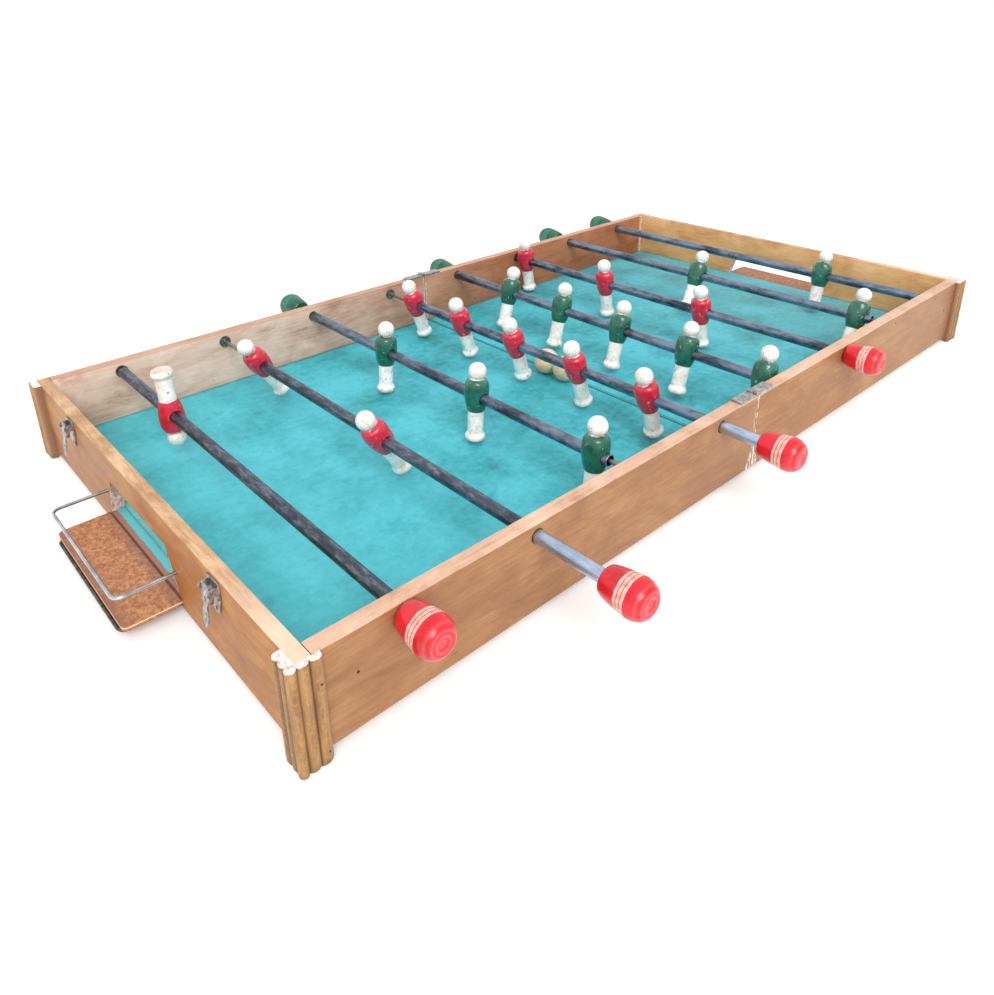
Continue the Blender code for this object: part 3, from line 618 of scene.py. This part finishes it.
goal_side = field_paint.band(y_away, goal_sill_half - 0.004, goal_sill_half + 0.004)
end_corner_shade = field_paint.band(field_paint.plus(x_away, wander), end_in - 0.001, end_in + 0.010)
end_corner_shade = field_paint.times(end_corner_shade, goal_side)
ruled = field_paint.sum("ABSOLUTE", field_paint.sum("SUBTRACT", field_paint.along("X"), 0.0034))
fold_line = field_paint.band(x_away, 0.0020, 0.0008)
fold_grime = field_paint.sum("MAXIMUM", fold_line, field_paint.band(ruled, 0.0009, 0.0004))
# The painted corner shade and the dark fold lines, laid on in one colour.
grime = field_paint.sum("MAXIMUM", field_paint.sum("MAXIMUM", wall_corner_shade, end_corner_shade), fold_grime)
colour = field_paint.over(colour, grime, 0.85, (36, 78, 82))
worn = field_paint.times(field_paint.band(fleck, 0.70, 0.78), field_paint.band(smudge, 0.45, 0.62))
colour = field_paint.over(colour, worn, 0.5, (160, 200, 190))
dark = field_paint.band(fleck, 0.36, 0.28)
colour = field_paint.over(colour, dark, 0.4, (30, 78, 76))
scratch = field_paint.cloud(0.0022, 3.0, 0.6, (14, 1, 1), 0.4)
colour = field_paint.over(colour, field_paint.band(scratch, 0.66, 0.74), 0.35, (36, 96, 98))
# Painted sheen: the field is painted lighter towards the left end.
left_painted_sheen = field_paint.band(field_paint.along("X"), -0.10, -0.48)
colour = field_paint.over(colour, left_painted_sheen, 0.35, (98, 204, 216))
far_right = field_paint.band(field_paint.along("X"), 0.05, 0.50)
colour = field_paint.over(colour, far_right, 0.28, (128, 160, 158))
ply = field_paint.cloud(0.004, 5.0, 0.65, (10, 1, 1), 0.5)
ply_tones = (0.34, (168, 122, 84)), (0.5, (200, 158, 116)), (0.66, (220, 184, 144))
bare_board = field_paint.tones(ply, *ply_tones)
below = field_paint.band(field_paint.along("Z"), -0.0012, -0.0020)
colour = field_paint.mix(below, colour, bare_board)
field_paint.close(colour, field_paint.plus(field_paint.times(smudge, 0.35), 0.36), streak, 0.00006)
field_paint.surface.inputs["Specular IOR Level"].default_value = 0.3
for half in ("left", "right"):
    board = nodes[f"playfield_{half}"]
    board.data.materials.clear()
    board.data.materials.append(field_paint.made)


# Goal trays
# A shelf of brown hardboard in two layers under each goal opening, where the scored balls lie.
# A dark wire, pushed into the end wall, runs round under its outer edge and holds it up.
tray_in = end_out + 0.0003
tray_out = end_out + 0.049
tray_half = 0.086
tray_top = -0.005
tray_thick = 0.006
tray_corner = 0.005
tray_board = Finish("tray_hardboard", 0.62)
mottle = tray_board.cloud(0.0032, 6.0, 0.72, (1, 1.4, 1))
fibre = tray_board.cloud(0.0016, 4.0, 0.7)
colour = tray_board.tones(mottle, (0.34, (142, 86, 56)), (0.5, (180, 122, 82)), (0.64, (206, 154, 110)))
colour = tray_board.over(colour, tray_board.band(fibre, 0.55, 0.70), 0.4, (84, 48, 32))
run_out = tray_board.plus(tray_board.away("X"), tray_board.times(mottle, 0.012))
inner_edge = tray_board.band(run_out, tray_in + 0.022, tray_in + 0.006)
outer_edge = tray_board.band(run_out, tray_out - 0.006, tray_out + 0.006)
handled = tray_board.sum("MAXIMUM", inner_edge, outer_edge)
colour = tray_board.over(colour, handled, 0.6, (132, 88, 78))
pressed_line = tray_board.sum("SUBTRACT", tray_board.away("X"), tray_in + 0.0010)
pressed_line = tray_board.sum("ABSOLUTE", pressed_line)
colour = tray_board.over(colour, tray_board.band(pressed_line, 0.0007, 0.0003), 0.75, (70, 44, 36))
layer = tray_board.sum("ABSOLUTE", tray_board.sum("SUBTRACT", tray_board.along("Z"), tray_top - 0.0028))
colour = tray_board.mix(tray_board.band(layer, 0.0009, 0.0003), colour, paint(226, 196, 164))
tray_board.close(colour, None, fibre, 0.0002)

support_steel = Finish("support_wire_steel", 0.4, 1.0)
rust = support_steel.cloud(0.004, 5.0, 0.7)
colour = support_steel.tones(rust, (0.35, (58, 54, 52)), (0.55, (104, 100, 98)), (0.72, (150, 146, 142)))
support_steel.close(colour)

wire_radius = 0.0016
wire_seat = 0.0078
wire_bend = 0.008
wire_sides = 14
support_out = 0.0502
tray_soft = 0.0006


def u_turn(start, out, half_width, bend, steps):
    """Points out from the end wall, along it and back in, with round corners."""
    corner = []
    for step in range(steps + 1):
        angle = math.pi / 2 * step / steps
        corner.append((out - bend + bend * math.sin(angle), half_width - bend + bend * math.cos(angle)))
    near = [(x, -y) for x, y in corner]
    return [(start, -half_width), *near, *reversed(corner), (start, half_width)]


def bent_wire(name, side, half_width, out, z):
    """A round wire bent to a U, its ends sunk in the end wall."""
    plan = u_turn(end_out - wire_seat, out, half_width, wire_bend, 12)
    route = [Vector((side * x, y, z)) for x, y in plan]
    up = Vector((0, 0, 1))
    shape = bmesh.new()
    rings = []
    for i, point in enumerate(route):
        ahead = (route[min(i + 1, len(route) - 1)] - route[max(i - 1, 0)]).normalized()
        aside = ahead.cross(up)
        ring = []
        for k in range(wire_sides):
            angle = 2 * math.pi * k / wire_sides
            spoke = math.cos(angle) * aside + math.sin(angle) * up
            ring.append(shape.verts.new(point + wire_radius * spoke))
        rings.append(ring)
    skin(shape, rings)
    shape.faces.new(rings[0])
    shape.faces.new(rings[-1])
    return mesh_of(name, shape)


def raised(shape, face, high):
    """A flat face drawn up into a slab."""
    drawn = bmesh.ops.extrude_face_region(shape, geom=[face])["geom"]
    corners = [v for v in drawn if isinstance(v, bmesh.types.BMVert)]
    bmesh.ops.translate(shape, vec=(0, 0, high), verts=corners)


for half, side in (("left", -1), ("right", 1)):
    shape = bmesh.new()
    plan = u_turn(tray_in, tray_out, tray_half, tray_corner, 8)
    base = shape.faces.new([shape.verts.new((side * x, y, tray_top - tray_thick)) for x, y in plan])
    raised(shape, base, tray_thick)
    edges = [e for e in shape.edges if abs(e.verts[0].co.z - e.verts[1].co.z) < 1e-6]
    bmesh.ops.bevel(shape, geom=edges, offset=tray_soft, segments=2, affect="EDGES")
    name = f"goal_tray_{half}"
    tray = shown(name + "_board", mesh_of(name, shape), tray_board.made)
    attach(tray, f"{half}_half")
    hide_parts(name)

    name = f"tray_support_{half}"
    mesh = bent_wire(name, side, support_half, end_out + support_out, support_z)
    support = shown(name, mesh, support_steel.made)
    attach(support, f"{half}_half")


# Goal fences
# A bright plated wire bent to a U, level above each tray, that keeps the balls on it.
# Its two ends are pushed into holes in the end wall.
plated = Finish("plated_wire", 0.16, 1.0)
haze = plated.cloud(0.02, 5.0, 0.6)
plated.close(
    plated.tones(haze, (0.3, (142, 147, 154)), (0.5, (180, 186, 193)), (0.7, (214, 219, 226))),
    plated.plus(plated.times(haze, 0.3), 0.05),
)
fence_out = 0.050
for half, side in (("left", -1), ("right", 1)):
    name = f"goal_fence_{half}"
    mesh = bent_wire(name, side, fence_half, end_out + fence_out, fence_z)
    fence = shown(name + "_wire", mesh, plated.made)
    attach(fence, f"{half}_half")
    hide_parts(name)


# Hinges and latches
# Small butt hinges screwed to the rims at the fold, and two draw latches screwed to the left end.
# Stamped steel, tarnished, with the plating gone from the edges.
tarnished = Finish("tarnished_steel", 0.4, 1.0)
patina = tarnished.cloud(0.004, 6.0, 0.7)
spots = tarnished.cloud(0.0012, 3.0, 0.6)
colour = tarnished.tones(patina, (0.32, (126, 120, 114)), (0.5, (170, 168, 166)), (0.68, (212, 213, 217)))
colour = tarnished.over(colour, tarnished.band(spots, 0.64, 0.74), 0.6, (96, 70, 54))
tarnished.close(colour, tarnished.plus(tarnished.times(patina, 0.5), 0.15), spots, 0.0001)
leaf_round = 0.00025
for name, node in nodes.items():
    if name.startswith("hinge_leaf"):
        node.data.materials.clear()
        node.data.materials.append(tarnished.made)
        weld = node.modifiers.new("weld", "WELD")
        weld.merge_threshold = 0.00001
        round_over = node.modifiers.new("round_over", "BEVEL")
        round_over.width = leaf_round
        round_over.segments = 2
        round_over.limit_method = "ANGLE"

latch_y = 0.168
plate_face = end_out + 0.0003
plate_thick = 0.0012
pivot_out = end_out + 0.0062
pivot_z = 0.058
ear_in = 0.0068
ear_thick = 0.0014
ear_radius = 0.0032
ear_sunk = 0.0004
ear_round = 0.0002
lever_lean = math.radians(8.0)
lever_half = 0.0065
lever_sheet = 0.0010
lever_front = 0.0011
press_round = 0.0003
screw_radius = 0.0021


def pressed(outline, depth):
    """A flat pressing of this outline, its front edge rounded, standing off the plane by depth."""
    shape = bmesh.new()
    base = shape.faces.new([shape.verts.new((u, v, 0.0)) for u, v in outline])
    raised(shape, base, depth)
    front = [e for e in shape.edges if all(abs(v.co.z - depth) < 1e-7 for v in e.verts)]
    bmesh.ops.bevel(shape, geom=front, offset=press_round, segments=2, affect="EDGES")
    return shape


def dome(wide, deep, high, place):
    """A low round head."""
    shape = bmesh.new()
    bmesh.ops.create_uvsphere(shape, u_segments=20, v_segments=10, radius=1.0)
    bmesh.ops.scale(shape, vec=(wide, deep, high), verts=shape.verts)
    bmesh.ops.translate(shape, vec=place, verts=shape.verts)
    return shape


hinge_y = 0.278
leaf_top = 0.0700
leaf_screws = ((0.0085, 0.0028), (0.0165, -0.0028), (0.0250, 0.0022))
leaf_screw_high = 0.0004
for half, side in (("left", -1), ("right", 1)):
    for edge, face in (("near", -1), ("far", 1)):
        shape = bmesh.new()
        for out, aside in leaf_screws:
            place = (side * out, face * hinge_y + aside, leaf_top)
            shape = joined(shape, dome(screw_radius, screw_radius, leaf_screw_high, place))
        name = f"hinge_screws_{edge}_{half}"
        screws = shown(name, mesh_of(name, shape), tarnished.made)
        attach(screws, f"{half}_half")

right_edge = [(0.0088, 0.0070), (0.0097, 0.0066), (0.0100, 0.0058), (0.0100, -0.0080), (0.0092, -0.0115)]
right_edge += [(0.0066, -0.0165), (0.0058, -0.0200), (0.0045, -0.0222), (0.0024, -0.0230)]
plate_outline = right_edge + [(-u, v) for u, v in reversed(right_edge)]
right_edge = [(lever_half, 0.0036), (lever_half, -0.0060), (0.0056, -0.0092), (0.0038, -0.0120)]
right_edge += [(0.0031, -0.0134), (0.0038, -0.0150), (0.0049, -0.0180), (0.0052, -0.0210)]
right_edge += [(0.0049, -0.0244), (0.0039, -0.0276), (0.0022, -0.0304)]
lever_outline = right_edge + [(0.0, -0.0318)] + [(-u, v) for u, v in reversed(right_edge)]
plate_screws = ((0.0, -0.0196), (-0.0074, -0.0094), (0.0074, -0.0094))
plate_screw_high = 0.0008
lever_hole = 0.0017
lever_hole_at = -0.0072
fold_thick = 0.0010
fold_low = -0.0096
fold_high = 0.0026
fold_back = -0.0028
fold_sunk = 0.0004
roll_radius = 0.0009
roll_at = 0.0033
roll_out = 0.0006
turn_pin_radius = 0.0012
spine_at = -0.0218
spine_size = (0.0013, 0.0062, 0.0007)
facing_left = Matrix(((0, 0, -1, 0), (1, 0, 0, 0), (0, 1, 0, 0), (0, 0, 0, 1)))
for edge, face in (("near", -1), ("far", 1)):
    pivot = Matrix.Translation((-pivot_out, face * latch_y, pivot_z))
    shape = pressed(plate_outline, plate_thick)
    bmesh.ops.translate(shape, vec=(0, 0, plate_face - pivot_out), verts=shape.verts)
    stand = plate_face + plate_thick - pivot_out
    for end in (-1, 1):
        inner, outer = sorted((end * ear_in, end * (ear_in + ear_thick)))
        arm = block((inner, -ear_radius, stand - ear_sunk), (outer, ear_radius, 0.0), ear_round)
        nose = bar(ear_radius, (inner + ear_round / 2, 0, 0), (outer - ear_round / 2, 0, 0), 28)
        shape = joined(shape, arm, nose)
    for u, v in plate_screws:
        shape = joined(shape, dome(screw_radius, screw_radius, plate_screw_high, (u, v, stand)))
    name = f"latch_plate_{edge}"
    mesh = mesh_of(name, shape)
    mesh.transform(pivot @ facing_left)
    plate = shown(name + "_pressing", mesh, tarnished.made)
    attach(plate, "left_half")
    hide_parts(name)

    shape = pressed(lever_outline, lever_sheet)
    bmesh.ops.translate(shape, vec=(0, 0, lever_front - lever_sheet), verts=shape.verts)
    name = f"latch_lever_{edge}"
    mesh = carved(name, shape, [bar(lever_hole, (0, lever_hole_at, -0.01), (0, lever_hole_at, 0.01), 24)])
    shape = bmesh.new()
    shape.from_mesh(mesh)
    for end in (-1, 1):
        inner, outer = sorted((end * (lever_half - fold_thick), end * lever_half))
        low, high = (inner, fold_low, fold_back), (outer, fold_high, lever_front - fold_sunk)
        shape = joined(shape, block(low, high, press_round))
    roll_end = lever_half - press_round
    rolled = bar(roll_radius, (-roll_end, roll_at, roll_out), (roll_end, roll_at, roll_out), 16)
    turn_pin = bar(turn_pin_radius, (-ear_in - ear_thick, 0, 0), (ear_in + ear_thick, 0, 0), 16)
    spine = dome(*spine_size, (0.0, spine_at, lever_front))
    mesh = mesh_of(name, joined(shape, rolled, turn_pin, spine))
    mesh.transform(facing_left)
    lever = shown(name + "_pressing", mesh, tarnished.made)
    lever.matrix_world = pivot @ Matrix.Rotation(lever_lean, 4, "Y")
    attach(lever, f"lever_{edge}")
    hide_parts(name)


# Rods
# Thin-walled steel tube, dark with handling and age and rubbed bright in places, and painted lighter
# towards the fold, partly as a painted highlight.
# Sawn to length and slipped over the guide pin, with the figures and the handle on it.
tube_steel = Finish("rod_tube_steel", 0.36, 1.0)
where = tube_steel.own()
patina = tube_steel.cloud(0.02, 6.0, 0.7, (1, 3, 1), 0.0, where)
scuff = tube_steel.cloud(0.004, 4.0, 0.7, (1, 4, 1), 0.0, where)
tone = tube_steel.plus(tube_steel.times(patina, 0.5), tube_steel.times(scuff, 0.5))
colour = tube_steel.tones(tone, (0.36, (52, 57, 67)), (0.5, (86, 93, 105)), (0.64, (146, 152, 166)))
rust = tube_steel.cloud(0.0022, 4.0, 0.7, (1, 1.5, 1), 0.0, where)
colour = tube_steel.over(colour, tube_steel.band(rust, 0.64, 0.72), 0.6, (116, 82, 62))
colour = tube_steel.over(colour, tube_steel.band(rust, 0.34, 0.28), 0.7, (206, 210, 214))
facing = tube_steel.step("NewGeometry", {}).outputs["Normal"]
turned_to = tube_steel.step("SeparateXYZ", {"Vector": facing}).outputs["Y"]
sawn_end = tube_steel.band(tube_steel.sum("ABSOLUTE", turned_to), 0.55, 0.85)
colour = tube_steel.mix(sawn_end, colour, paint(214, 204, 198))
# Lighter, bluer patches from the left end rod towards the fold: partly rubbed steel, partly a painted
# highlight.
handled = tube_steel.band(tube_steel.along("X"), -0.42, -0.05)
handled = tube_steel.times(handled, tube_steel.band(patina, 0.36, 0.60))
colour = tube_steel.over(colour, handled, 0.65, (150, 166, 188))
drawn_out = tube_steel.band(tube_steel.along("Y"), -wall_out + 0.001, -wall_out - 0.003)
bright = tube_steel.tones(tone, (0.34, (150, 168, 192)), (0.5, (184, 204, 232)), (0.66, (220, 230, 244)))
colour = tube_steel.mix(tube_steel.times(drawn_out, 0.85), colour, bright)
tube_steel.close(colour, tube_steel.plus(tube_steel.times(patina, 0.4), 0.18), scuff, 0.0001)

tube_radius = 0.006
tube_bore = 0.005
tube_round = 0.0003
tube_sides = 28
for number in range(1, 9):
    name = f"rod_{number}_tube"
    low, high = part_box(name)
    x = rod_x(number)
    shape = bmesh.new()
    rings = []
    for radius, y in (
        (tube_bore, low.y),
        (tube_radius - tube_round, low.y),
        (tube_radius, low.y + tube_round),
        (tube_radius, high.y - tube_round),
        (tube_radius - tube_round, high.y),
        (tube_bore, high.y),
    ):
        ring = []
        for k in range(tube_sides):
            angle = 2 * math.pi * k / tube_sides
            at = (x + radius * math.cos(angle), y, rod_z + radius * math.sin(angle))
            ring.append(shape.verts.new(at))
        rings.append(ring)
    skin(shape, rings + rings[:1])
    tube = shown(f"rod_{number}_steel", mesh_of(name, shape), tube_steel.made)
    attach(tube, f"tube_{number}")
    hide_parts(name)


# Handles
# Turned wooden knobs, narrow at the wall and full at the end, pushed on to the tubes.
# Red or green gloss paint, with three turned rings rubbed bare and a dimple at the end.
knob_long = 0.0405
knob_wide = 0.0166
knob_neck = 0.0108
knob_end = 0.0080
knob_dimple = 0.0020
knob_widest = 0.66 * knob_long
knob_socket = 0.018
knob_bore = 0.0065
ring_places = (0.47, 0.555, 0.64)
ring_reach = 0.02
ring_deep = 0.0003


def lathe(profile, sides):
    """A turned piece from (radius, height) points, closed where the radius is nothing."""
    shape = bmesh.new()
    rings = []
    for radius, z in profile:
        if radius < 1e-6:
            rings.append([shape.verts.new((0, 0, z))])
            continue
        angles = [2 * math.pi * k / sides for k in range(sides)]
        rings.append([shape.verts.new((radius * math.cos(a), radius * math.sin(a), z)) for a in angles])
    for first, second in zip(rings, rings[1:]):
        for i in range(sides):
            j = (i + 1) % sides
            kept = []
            for ring, at in ((first, i), (first, j), (second, j), (second, i)):
                corner = ring[at % len(ring)]
                if corner not in kept:
                    kept.append(corner)
            shape.faces.new(kept)
    return shape


knob_floor = knob_long - knob_dimple
profile = [(0.0, knob_floor), (0.003, knob_floor + knob_dimple * 0.2), (0.0062, knob_long - 0.0005)]
profile.append((knob_end, knob_long))
for step in range(1, 13):
    angle = math.pi / 2 * step / 12
    radius = knob_end + (knob_wide - knob_end) * math.sin(angle)
    profile.append((radius, knob_widest + (knob_long - knob_widest) * math.cos(angle)))
for step in range(1, 30):
    share = step / 30
    z = knob_widest * (1 - share)
    radius = knob_neck + (knob_wide - knob_neck) * math.sqrt(1 - share)
    for ring in ring_places:
        if abs(z / knob_long - ring) < ring_reach:
            radius -= ring_deep
    profile.append((radius, z))
profile += [(knob_neck, 0.0), (knob_bore, 0.0), (knob_bore, knob_socket), (0.0, knob_socket)]
knob_shape = mesh_of("knob", lathe(profile, 48))


def knob_paint(name, deep, fresh, ring_dark, ring_pale):
    gloss = Finish(name, 0.32)
    where = gloss.own()
    shade = gloss.cloud(0.012, 5.0, 0.65, place=where)
    chips = gloss.cloud(0.004, 5.0, 0.7, (1, 1, 1.6), 0.0, where)
    colour = gloss.tones(shade, (0.35, deep), (0.6, fresh))
    height = gloss.along("Z")
    wander = gloss.times(gloss.sum("SUBTRACT", chips, 0.5), 0.002)
    bare = None
    for ring in ring_places:
        away = gloss.sum("SUBTRACT", gloss.plus(height, wander), ring * knob_long)
        away = gloss.sum("ABSOLUTE", away)
        hoop = gloss.band(away, 0.0016, 0.0012)
        bare = hoop if bare is None else gloss.sum("MAXIMUM", bare, hoop)
    flat = gloss.step("VectorMath", {0: gloss.place, 1: (1, 1, 0)}, operation="MULTIPLY").outputs[0]
    off_centre = gloss.step("VectorMath", {0: flat}, operation="LENGTH").outputs["Value"]
    turned = gloss.sum("PINGPONG", off_centre, 0.0021)
    end_rings = gloss.band(turned, 0.0006, 0.0020)
    tip = gloss.times(gloss.band(height, knob_long - 0.007, knob_long - 0.003), end_rings)
    rub = gloss.band(chips, 0.72, 0.76)
    bare = gloss.times(bare, gloss.band(shade, 0.22, 0.42))
    bare = gloss.sum("MAXIMUM", bare, gloss.sum("MAXIMUM", gloss.times(tip, 0.15), rub))
    wood = gloss.tones(chips, (0.35, ring_dark), (0.65, ring_pale))
    gloss.close(gloss.mix(bare, colour, wood), gloss.plus(gloss.times(bare, 0.3), 0.30), bare, 0.0002)
    gloss.surface.inputs["Coat Weight"].default_value = 0.2
    gloss.surface.inputs["Coat Roughness"].default_value = 0.08
    return gloss.made


knob_red = knob_paint(
    "knob_red_paint", (186, 4, 24), (222, 14, 40), (206, 150, 132), (236, 198, 186)
)
knob_green = knob_paint(
    "knob_green_paint", (4, 66, 48), (16, 98, 74), (22, 92, 72), (70, 140, 118)
)
for number in range(1, 9):
    name = f"rod_{number}_handle"
    handle = handle_side(number)
    low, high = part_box(name)
    mouth = high.y if handle < 0 else low.y
    knob = shown(f"rod_{number}_knob", knob_shape.copy(), knob_red if handle < 0 else knob_green)
    turned = Matrix.Rotation(-handle * math.pi / 2, 4, "X")
    knob.matrix_world = Matrix.Translation((rod_x(number), mouth, rod_z)) @ turned
    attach(knob, f"handle_{number}")
    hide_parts(name)


# Figures
# Turned wooden skittles: a ball head, a barrel body, a tapering leg and a foot, all one piece.
# White head and leg, red or green body, the paint chipped down to the wood by the ball.
figure_leans = (177.0, -31.0, 4.5, -17.5, 15.5, -8.5, 24.0, 15.0)
head_radius = 0.0098
head_high = 0.0283
neck_radius = 0.0058


def rounded(points, steps=6):
    """A smooth run through (radius, height) points."""
    made = []
    for i in range(len(points) - 1):
        before = points[max(i - 1, 0)]
        a, b = points[i], points[i + 1]
        after = points[min(i + 2, len(points) - 1)]
        for step in range(steps):
            t = step / steps
            point = []
            for p, q, r, s in zip(before, a, b, after):
                square = (2 * p - 5 * q + 4 * r - s) * t * t
                cube = (3 * q - p - 3 * r + s) * t ** 3
                point.append(0.5 * (2 * q + (r - p) * t + square + cube))
            made.append(tuple(point))
    made.append(points[-1])
    return made


profile = [(0.0, head_high + head_radius)]
neck_angle = math.acos(neck_radius / head_radius)
for step in range(1, 17):
    angle = math.pi / 2 - step / 16 * (math.pi / 2 + neck_angle)
    profile.append((head_radius * math.cos(angle), head_high + head_radius * math.sin(angle)))
profile += rounded(
    (
        (0.0062, 0.0202),
        (0.0094, 0.0194),
        (0.0119, 0.0170),
        (0.0132, 0.0122),
        (0.0135, 0.0070),
        (0.0132, 0.0005),
        (0.0122, -0.0065),
        (0.0109, -0.0120),
        (0.0096, -0.0158),
    )
)
profile += [(0.0094, -0.0161), (0.0090, -0.0163)]
leg = ((0.0089, -0.0166), (0.0088, -0.0300), (0.0087, -0.0395), (0.0089, -0.0414))
profile += rounded((*leg, (0.0099, -0.0434), (0.0108, -0.0449)))
profile += rounded(((0.0111, -0.0464), (0.0109, -0.0480), (0.0103, -0.0496), (0.0095, -0.0505)))
profile.append((0.0, -0.0505))
figure_bore = 0.0065
drill = bar(figure_bore, (0, -0.03, 0), (0, 0.03, 0), 28)
figure_shape = carved("figure", lathe(profile, 36), [drill])


def figure_paint(name, deep, fresh):
    coat = Finish(name, 0.4)
    where = coat.own()
    shade = coat.cloud(0.010, 5.0, 0.65, place=where)
    chips = coat.cloud(0.0055, 6.0, 0.72, (1, 1, 1.3), 0.0, where)
    scratch = coat.cloud(0.0018, 4.0, 0.7, (1, 1, 3), 0.0, where)
    jersey = coat.tones(shade, (0.35, deep), (0.62, fresh))
    white = coat.tones(shade, (0.30, (222, 198, 178)), (0.44, (240, 232, 224)), (0.60, (250, 250, 249)))
    height = coat.plus(coat.along("Z"), coat.times(coat.sum("SUBTRACT", shade, 0.5), 0.002))
    trunk = coat.times(coat.band(height, -0.0168, -0.0161), coat.band(height, 0.0205, 0.0198))
    colour = coat.mix(trunk, white, jersey)
    low_chip = coat.band(coat.along("Z"), -0.020, -0.050)
    level = coat.plus(chips, coat.times(low_chip, 0.06))
    bare = coat.band(level, 0.665, 0.685)
    wood = coat.tones(scratch, (0.35, (168, 116, 88)), (0.65, (222, 178, 148)))
    colour = coat.mix(bare, colour, wood)
    primer = coat.times(coat.band(chips, 0.63, 0.65), coat.sum("SUBTRACT", 1.0, bare, True))
    colour = coat.over(colour, primer, 0.7, (240, 222, 208))
    grime = coat.band(scratch, 0.66, 0.76)
    colour = coat.over(colour, grime, 0.45, (110, 72, 58))
    speck = coat.cloud(0.0013, 3.0, 0.65, place=where)
    on_head = coat.times(coat.band(coat.along("Z"), 0.0195, 0.0215), coat.band(speck, 0.55, 0.63))
    colour = coat.over(colour, on_head, 0.62, (104, 84, 74))
    rubbed = coat.times(coat.band(coat.along("Z"), -0.0165, -0.0180), coat.band(chips, 0.55, 0.64))
    colour = coat.over(colour, rubbed, 0.55, (196, 138, 122))
    # Painted shade: the foot is darkened towards its sole.
    painted_foot_shade = coat.band(coat.plus(coat.along("Z"), coat.times(shade, 0.006)), -0.0440, -0.0475)
    colour = coat.over(colour, painted_foot_shade, 0.5, (176, 136, 112))
    coat.close(colour, coat.plus(coat.times(bare, 0.3), 0.34), coat.sum("SUBTRACT", 1.0, bare), 0.0002)
    coat.surface.inputs["Coat Weight"].default_value = 0.6
    coat.surface.inputs["Coat Roughness"].default_value = 0.12
    return coat.made


figure_red = figure_paint("figure_red_paint", (178, 8, 40), (214, 26, 62))
figure_green = figure_paint("figure_green_paint", (6, 74, 56), (24, 106, 84))
for number in range(1, 9):
    lean = Matrix.Rotation(math.radians(figure_leans[number - 1]), 4, "Y")
    red = handle_side(number) < 0
    for place in range(1, figure_counts[number - 1] + 1):
        name = f"rod_{number}_figure_{place}"
        low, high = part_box(name)
        figure = shown(name + "_painted", figure_shape.copy(), figure_red if red else figure_green)
        figure.matrix_world = Matrix.Translation((rod_x(number), (low.y + high.y) / 2, rod_z)) @ lean
        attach(figure, f"players_{number}")
        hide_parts(name)


# Balls
# Two turned wooden balls, oiled by many hands.
# They lie loose on the field, near the fold.
ball_wood = Finish("ball_wood", 0.45)
where = ball_wood.own()
rings = ball_wood.cloud(0.003, 5.0, 0.6, (5, 1, 1), 0.8, where)
patch = ball_wood.cloud(0.009, 4.0, 0.6, place=where)
colour = ball_wood.tones(rings, (0.32, (212, 174, 132)), (0.5, (232, 202, 164)), (0.68, (242, 218, 188)))
colour = ball_wood.over(colour, ball_wood.band(patch, 0.55, 0.68), 0.22, (176, 134, 94))
ball_wood.close(colour, ball_wood.plus(ball_wood.times(patch, 0.4), 0.25), rings, 0.0001)
for number in (1, 2):
    name = f"ball_{number}"
    low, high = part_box(name)
    radius = (high.z - low.z) / 2
    profile = [(0.0, radius)]
    for step in range(1, 24):
        angle = math.pi * step / 24
        profile.append((radius * math.sin(angle), radius * math.cos(angle)))
    profile.append((0.0, -radius))
    ball = shown(name + "_wood", mesh_of(name, lathe(profile, 36)), ball_wood.made)
    ball.matrix_world = Matrix.Translation((low + high) / 2) @ Matrix.Rotation(0.7 + number, 4, "X")
    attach(ball, "left_half")
    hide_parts(name)
